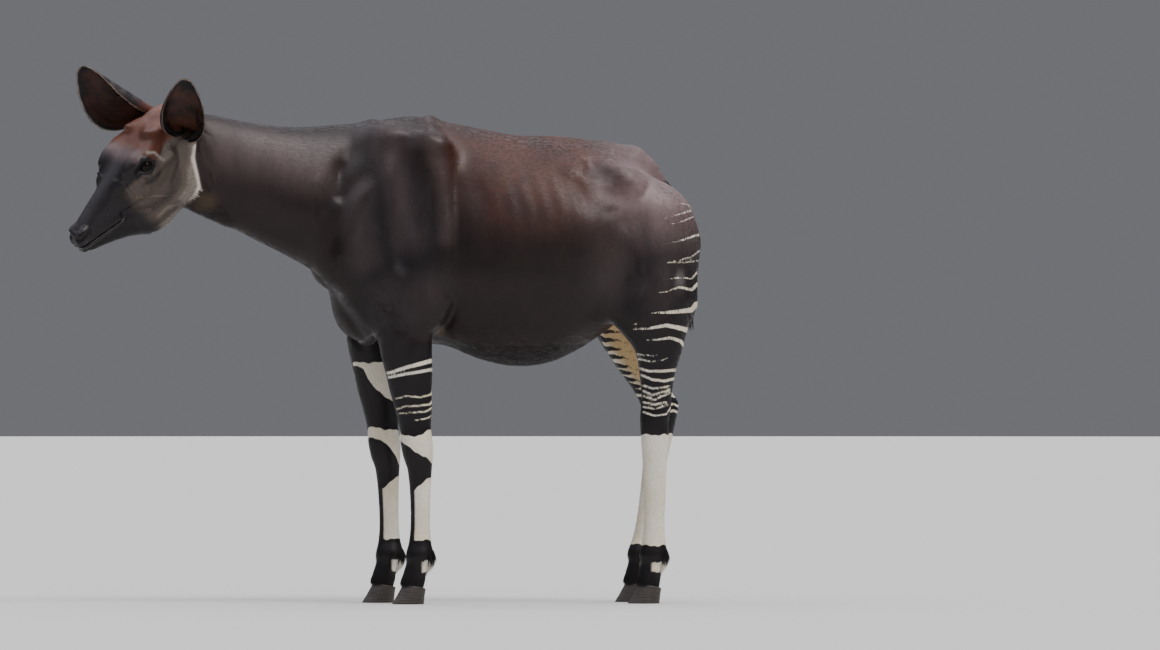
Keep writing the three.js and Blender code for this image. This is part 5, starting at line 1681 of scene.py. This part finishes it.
def make_tail():
    """A bare stem, its short coat, and the tuft of long hair at its end"""
    part = np.linspace(0, 1, TAIL_RINGS)
    middle = smooth_line(TAIL_LINE, part)
    along = unit(np.gradient(middle, axis=0))
    wide = np.tile((0.0, 1.0, 0.0), (TAIL_RINGS, 1))
    deep = np.cross(along, wide)
    radius = mix(16.0, 6.5, part ** 0.7) * (1 + 0.03 * np.sin(part * 90))
    angle = np.arange(TAIL_ROUND) * 2 * math.pi / TAIL_ROUND
    out = (np.cos(angle)[None, :, None] * wide[:, None]
           + np.sin(angle)[None, :, None] * deep[:, None])
    points = (middle[:, None] + out * radius[:, None, None]).reshape(-1, 3)
    points = np.concatenate([points, middle[:1], middle[-1:]])
    faces = outwards(points, ring_faces(TAIL_RINGS, TAIL_ROUND))
    obj = make_mesh("tail_stem", points, faces)
    set_marks(obj, points, tail_marks(points))
    finish_piece(obj, SKIN, "body_coat", "tail")
    root, normal = scatter(points, faces, vertex_normals(points, faces),
                           lambda p: np.full(len(p), 9.0 * THIN))
    lie = np.tile((0.25, 0.0, -1.0), (len(root), 1))
    lie = unit(flattened(lie, normal))
    lie = turn_about(lie, normal, rng.normal(0, 0.15, len(root)))
    marks = tail_marks(root)
    chart = np.stack([turn_share(root[:, 1], root[:, 0] - 500), (root[:, 2] - 940) / 380], 1)
    add_tufts("tail_coat", root, normal, lie, 11.0 * (0.75 + 0.5 * rng.random(len(root))), 1.7,
              1.0, chart, marks, marks, COAT, sink=0.5)
    hang = rng.random(TUFT_HAIRS // THIN) ** 0.8
    at = smooth_line(TAIL_LINE, 0.80 + 0.2 * hang)
    turn = rng.random(len(hang)) * 2 * math.pi
    normal = np.stack([np.cos(turn), np.sin(turn), 0 * turn], 1)
    way = unit(np.stack([0.06 * np.cos(turn), 0.09 * np.sin(turn), -np.ones(len(turn))], 1))
    normal = unit(flattened(normal, way))
    length = mix(150.0, 118.0, hang) * (0.7 + 0.45 * rng.random(len(hang)))
    chart = np.stack([turn / (2 * math.pi), hang], 1)
    marks = tail_marks(at)
    add_tufts("tail_tuft", at + normal * 6, normal, way, length, 3.2, 4.0, chart, marks, marks,
              COAT, long=True, sink=0.5)


def tail_marks(p):
    """The tail's colours: dark brown, and darker at its end"""
    low = smooth(1010, 950, p[:, 2])
    none = np.zeros(len(p))
    return dict(zip(MARKS, (np.stack([none - 20, 0.8 * low, none], 1),
                            np.stack([none + 0.2, 0.4 + 0.6 * low, none + 0.2], 1),
                            np.stack([none, none, none], 1))))


# Eyes
def make_eye(s):
    """A ball with a low cornea, turned outwards"""
    rings, around = 40, 64
    outward, back, above = eye_frame(s, 0.25, 0.1)
    off = np.linspace(0, math.pi, rings + 1)
    turn = np.arange(around) * 2 * math.pi / around
    bulge = 1 + 0.045 * np.exp(-(np.degrees(off) / 34) ** 4)
    ring = (np.sin(off) * bulge)[:, None, None] * (
        np.cos(turn)[None, :, None] * back + np.sin(turn)[None, :, None] * above)
    ball_points = (ring + (np.cos(off) * bulge)[:, None, None] * outward).reshape(-1, 3)
    q = arr(EYE_CENTRE[0], s * EYE_CENTRE[1], EYE_CENTRE[2]) + ball_points * (EYE_RADIUS - 0.2)
    i, j = np.meshgrid(np.arange(rings), np.arange(around), indexing="ij")
    a, b = i * around + j, i * around + (j + 1) % around
    quads = np.stack([a, b, b + around, a + around], -1).reshape(-1, 4)
    corners = HEAD.out(q)
    side_name = "left" if s > 0 else "right"
    obj = make_mesh(f"eye_ball_{side_name}", corners, outwards(corners, halves(quads)))
    degrees = np.degrees(np.repeat(off, around))
    look = np.stack([degrees * np.tile(np.cos(turn), rings + 1),
                     degrees * np.tile(np.sin(turn), rings + 1), degrees], 1)
    set_vectors(obj, "look", look)
    finish_piece(obj, EYE, "eye", f"eye_{side_name}")


# Ears
# The ear from its root: share of its length, of its width, and how far its outer and inner halves
# curl, in degrees
EAR_ROWS = [
    (0, 0.64, 160, 165), (0.1, 0.8, 136, 165), (0.22, 0.95, 108, 158), (0.36, 1, 84, 150),
    (0.52, 0.93, 68, 138), (0.68, 0.76, 54, 118), (0.83, 0.52, 42, 90), (0.94, 0.29, 34, 60),
    (1, 0.08, 28, 40),
]
INNER_CURL_POWER = 1.7
EAR_UP = 48
EAR_ACROSS = 44
CURL_STEPS = 24


def ear_place(spec):
    along = unit(spec["tip"])
    facing = unit(spec["face"] - along * (spec["face"] @ along))
    return Place(HEAD.out(spec["root"]), HEAD.turned(along),
                 HEAD.turned(np.cross(facing, along)), HEAD.turned(facing))


def ear_sheet(spec, part, share):
    """Points and outward directions of the ear's sheet; share runs from -1 to 1 across it"""
    place = ear_place(spec)
    rows = np.array(EAR_ROWS)
    low = np.clip(part, 0, 1)
    spread, outer, inner = (np.interp(low, rows[:, 0], rows[:, i]) for i in (1, 2, 3))
    spread = np.where(part > 0.85, np.maximum(spread, 0.93 * np.sqrt(np.clip(1.02 - part, 0, 1))),
                      spread)
    curl = np.radians(np.where(share < 0, outer, inner))
    power = np.where(share < 0, 1.0, INNER_CURL_POWER)
    size = np.abs(share)
    across, depth = np.zeros(len(part)), np.zeros(len(part))
    for i in range(CURL_STEPS):
        heading = curl * (size * (i + 0.5) / CURL_STEPS) ** power
        across += np.cos(heading) * spread * EAR_SPREAD / 2 * size / CURL_STEPS
        depth += np.sin(heading) * spread * EAR_SPREAD / 2 * size / CURL_STEPS
    heading = curl * size ** power
    towards = np.where(share < 0, -spec["inner"], spec["inner"])
    q = np.stack([part * EAR_LENGTH,
                  towards * across + spec["inner"] * spec["bow"] * np.sin(math.pi * low ** 0.8),
                  depth - EAR_ROOT_SHIFT * (1 - part) ** 2 - EAR_CURVE_BACK * part * part], 1)
    out = np.stack([0 * part, towards * np.sin(heading), -np.cos(heading)], 1)
    return place.out(q), place.turned(out), spread


def edge_distance(part, share, spread):
    edge = (1 - np.abs(share)) * spread * EAR_SPREAD / 2
    return np.minimum(edge, (1 - part) * EAR_LENGTH * 0.8)


def make_ear(spec):
    """A closed, curled shell with soft folds, and its hair"""
    rows, cols = EAR_UP + 1, EAR_ACROSS + 1
    part = np.repeat(np.linspace(-0.08, 1, rows), cols)
    share = np.tile(np.sin(np.linspace(-1, 1, cols) * math.pi / 2), rows)
    points, out, spread = ear_sheet(spec, part, share)
    wave = 0.9 * np.sin(part * 38 + share * 3) * np.abs(share) ** 2
    points = points + out * wave[:, None]
    half = mix(2.1, 0.7, np.abs(share) ** 4)[:, None]
    fold = 0.8 * np.cos(share * 26)[:, None] * smooth(0.9, 0.3, part)[:, None]
    fold = fold * smooth(0.9, 0.7, np.abs(share))[:, None]
    shell = np.concatenate([points + out * half, points - out * (half + fold)])
    i, j = np.meshgrid(np.arange(rows - 1), np.arange(cols - 1), indexing="ij")
    a = (i * cols + j).ravel()
    n = rows * cols
    outer = np.stack([a, a + 1, a + cols + 1, a + cols], 1)
    quads = [outer, n + outer[:, ::-1]]
    for start in (0, cols - 1):
        e = np.arange(rows - 1) * cols + start
        rim = np.stack([e, e + cols, e + cols + n, e + n], 1)
        quads.append(rim if start == 0 else rim[:, ::-1])
    for start in (0, (rows - 1) * cols):
        e = start + np.arange(cols - 1)
        end = np.stack([e, e + n, e + n + 1, e + 1], 1)
        quads.append(end if start == 0 else end[:, ::-1])
    quads = np.concatenate(quads)
    obj = make_mesh(f"ear_shell_{spec['name']}", shell, outwards(shell, halves(quads)))
    edge = edge_distance(part, share, spread)
    marks = np.stack([np.repeat((0.0, 1.0), n), np.tile(part, 2), np.tile(edge, 2)], 1)
    set_vectors(obj, "ear", marks)
    set_vectors(obj, "spot", metres(shell))
    set_vectors(obj, "look", np.full((2 * n, 3), 0.5))
    finish_piece(obj, EAR_SHELL, "ear_skin", f"ear_{spec['name']}")
    ear_hair(spec)


def ear_hair(spec):
    """Short hair over both faces of the ear, longer inside its root and along its rim"""
    groups = []
    count = 9000 // THIN
    for inside in (0, 1):
        part = rng.random(count) ** 0.9
        share = rng.uniform(-0.99, 0.99, count)
        groups.append((part, share, np.full(count, inside), mix(6.5, 4.5, part), 0.3, 0.25))
    count = 700 // THIN
    part = rng.random(count) * 0.62
    share = np.where(rng.random(count) < 0.75, rng.uniform(0.45, 0.98, count),
                     rng.uniform(-0.95, -0.5, count))
    groups.append((part, share, np.ones(count), mix(26, 12, part / 0.62), 4.0, 0.6))
    count = 1500 // THIN
    part = rng.random(count)
    share = np.where(rng.random(count) < 0.5, -1.0, 1.0) * rng.uniform(0.975, 1.0, count)
    inside = (rng.random(count) < 0.5).astype(float)
    groups.append((part, share, inside, np.full(count, 6.0), 1.2, 0.9))
    for number, (part, share, inside, length, lift, splay) in enumerate(groups):
        points, out, spread = ear_sheet(spec, part, share)
        ahead = ear_sheet(spec, part + 0.01, share)[0]
        further = np.clip(share + 0.01 * np.sign(share), -1.01, 1.01)
        beside = ear_sheet(spec, part, further)[0]
        normal = unit(np.where(inside[:, None] > 0.5, -out, out))
        way = unit(ahead - points) + splay * unit(beside - points)
        way = turn_about(unit(flattened(way, normal)), normal, rng.normal(0, 0.22, len(part)))
        root = points + normal * mix(2.0, 0.7, np.abs(share) ** 4)[:, None]
        on_rim = number == 3
        edge = np.full(len(part), 0.8) if on_rim else edge_distance(part, share, spread)
        length = length * (0.75 + 0.5 * rng.random(len(part)))
        chart = np.stack([(share + 1) / 4 + inside / 2, part], 1)
        ear = {"ear": np.stack([inside, part, edge], 1)}
        add_tufts(f"ear_hair_{spec['name']}_{number + 1}", root, normal, way, length,
                  length * (0.15 if number < 2 else 0.09), lift * length / 6, chart,
                  ear, ear, EAR_COAT, long=number >= 2, sink=0.4, slot="ear_skin")


# Hooves
CLAW_ROUND = 40
CLAW_UP = 26
# Where the outline of a claw has its points, as shares of its length, closest at its tip and heel
CLAW_STEPS = (0, 0.08, 0.24, 0.5, 0.76, 0.93, 1)
# How much a claw leans back, shortens and narrows for each millimetre of height
CLAW_LEAN = 0.62
CLAW_SHORTER = 0.52
CLAW_NARROWER = 0.05


def make_claw(leg, claw_side):
    """A claw with a worn edge, a sloping front with growth rings and a soft coronet"""
    toe = leg["toe"] - HOOF_LENGTH / 2
    middle = leg["side"] * leg["track"]
    last = len(CLAW_STEPS) - 1
    xs = np.interp(np.linspace(0, last, CLAW_ROUND), range(last + 1), CLAW_STEPS)
    ws = np.maximum(np.sin(xs * math.pi) ** 0.55 * mix(0.9, 1.0, xs), 0.06)
    xs = np.concatenate([xs, np.linspace(1, 0, CLAW_ROUND // 2 + 2)[1:-1]])
    ws = np.concatenate([ws, np.full(CLAW_ROUND // 2, -0.6 / HOOF_WIDTH)])
    count = len(xs)
    heights = np.concatenate([[0, 0.6], np.linspace(3, CORONET - 3, CLAW_UP - 4),
                              [CORONET - 1.4, CORONET - 0.6]])
    grow = np.concatenate([[0.93, 0.97], 1 + 0.008 * np.sin(np.arange(CLAW_UP - 4) * 1.9),
                           [0.97, 0.9]])
    rings = []
    for h, g in zip(heights, grow):
        length = HOOF_LENGTH - h * CLAW_SHORTER
        width = (HOOF_WIDTH - h * CLAW_NARROWER) * g
        x = toe + h * CLAW_LEAN + (0.5 + (xs - 0.5) * (g if h > 1 else 1)) * length
        w = np.where(ws > 0, ws * width, ws * HOOF_WIDTH)
        z = np.full(count, h)
        if h > 20:
            z = h - CORONET_SLOPE * (x - toe - HOOF_LENGTH / 2) * smooth(20, CORONET, h)
        rings.append(np.stack([x, middle + claw_side * (1.6 + w), z], 1))
    bottom, top = rings[0].mean(0), rings[-1].mean(0) + (0, 0, 1.0)
    points = np.concatenate([*rings, [bottom, top]])
    faces = outwards(points, ring_faces(CLAW_UP, count))
    limb = "fore" if leg["name"] == "foreleg" else "hind"
    place = "outer" if claw_side == leg["side"] else "inner"
    foot = f"{limb}_{leg['side_name']}_{place}"
    finish_piece(make_mesh(f"claw_{foot}", points, faces), HORN, "hoof_horn", f"hoof_{foot}")


# Studio
FLOOR_RADIUS = 60.0
FLOOR_SIDES = 96
FLOOR_COLOUR = (0.5, 0.49, 0.47)
# The light of the surroundings: the heights between which it grows, and its strength there
SKY_RANGE = (0.3, 0.95, 0.18, 2.8)
SKY_COLOUR = (0.9, 0.92, 1.0, 1)
SUN_STRENGTH = 2.0
SUN_ANGLE = 28
SUN_COLOUR = (1.0, 0.95, 0.88)
SUN_WAY = (-0.75, 0.9, -1.5)
# The photograph's frame: its width in pixels, metres to a pixel at the animal, and its middle
PHOTO_WIDTH = 1160
METRES_A_PIXEL = 0.00307
VIEW_MIDDLE = (198.4, 0, 853)
CAMERA_DISTANCE = 40
CAMERA_TURN = 8
SENSOR_WIDTH = 36


def plain_material(name, colour, roughness):
    material = bpy.data.materials.new(name)
    material.use_nodes = True
    shader = material.node_tree.nodes["Principled BSDF"]
    shader.inputs["Base Color"].default_value = (*colour, 1)
    shader.inputs["Roughness"].default_value = roughness
    return material


def studio():
    turns = [2 * math.pi * i / FLOOR_SIDES for i in range(FLOOR_SIDES)]
    ring = [(FLOOR_RADIUS * math.cos(turn), FLOOR_RADIUS * math.sin(turn), 0) for turn in turns]
    mesh = bpy.data.meshes.new("floor")
    mesh.from_pydata(ring, [], [list(range(FLOOR_SIDES))])
    floor = bpy.data.objects.new("floor", mesh)
    bpy.context.scene.collection.objects.link(floor)
    floor.data.materials.append(plain_material("floor", FLOOR_COLOUR, 0.9))
    world = bpy.data.worlds.new("studio")
    bpy.context.scene.world = world
    world.use_nodes = True
    tree = world.node_tree
    place = tree.nodes.new("ShaderNodeTexCoord")
    split = tree.nodes.new("ShaderNodeSeparateXYZ")
    ramp = tree.nodes.new("ShaderNodeMapRange")
    ramp.interpolation_type = "SMOOTHSTEP"
    for i, value in enumerate(SKY_RANGE, start=1):
        ramp.inputs[i].default_value = value
    tree.links.new(place.outputs["Generated"], split.inputs[0])
    tree.links.new(split.outputs[2], ramp.inputs[0])
    tree.links.new(ramp.outputs[0], tree.nodes["Background"].inputs["Strength"])
    tree.nodes["Background"].inputs["Color"].default_value = SKY_COLOUR
    light = bpy.data.lights.new("sun", "SUN")
    light.angle = math.radians(SUN_ANGLE)
    light.energy = SUN_STRENGTH
    light.color = SUN_COLOUR
    lamp = bpy.data.objects.new("sun", light)
    bpy.context.scene.collection.objects.link(lamp)
    lamp.rotation_euler = Vector(SUN_WAY).to_track_quat("-Z", "Y").to_euler()


def camera():
    data = bpy.data.cameras.new("camera")
    data.sensor_width = SENSOR_WIDTH
    data.lens = SENSOR_WIDTH * CAMERA_DISTANCE / (PHOTO_WIDTH * METRES_A_PIXEL)
    data.clip_end = 300
    eye = bpy.data.objects.new("camera", data)
    bpy.context.scene.collection.objects.link(eye)
    target = Vector(metres(VIEW_MIDDLE))
    angle = math.radians(CAMERA_TURN)
    eye.location = target - CAMERA_DISTANCE * Vector((math.sin(angle), math.cos(angle), 0))
    eye.rotation_euler = (target - eye.location).to_track_quat("-Z", "Y").to_euler()
    bpy.context.scene.camera = eye


# The pieces, in the order of their random draws
SKIN = coat_material("skin", tufts=False)
COAT = coat_material("coat", tufts=True)
EYE = eye_material()
EAR_SHELL = ear_material("ear_shell")
EAR_COAT = ear_material("ear_coat")
HORN = horn_material()

skin_points, skin_triangles = make_skin()
okapi = (skin_points, skin_triangles, vertex_normals(skin_points, skin_triangles))
add_skin(*okapi)
short_coat(*okapi)
long_coat(okapi, "coat_jaw_fringe", on_jaw, 26, 13, 1.3, 2.6, 0.25, slot="face_coat")
long_coat(okapi, "coat_fetlock", at_fetlock, 14, 17, 1.8, 3.0, 0.3)
long_coat(okapi, "coat_coronet", at_coronet, 12, 13, 1.6, 1.8, 0.2)
long_coat(okapi, "coat_belly_edge", at_belly_edge, 60, 17, 2.2, 1.4, 0.1, slot="body_coat")
make_tail()
for side in SIDES:
    make_eye(side)
for ear in EARS:
    make_ear(ear)
for leg in LEGS:
    for claw_side in SIDES:
        make_claw(leg, claw_side)
studio()
camera()
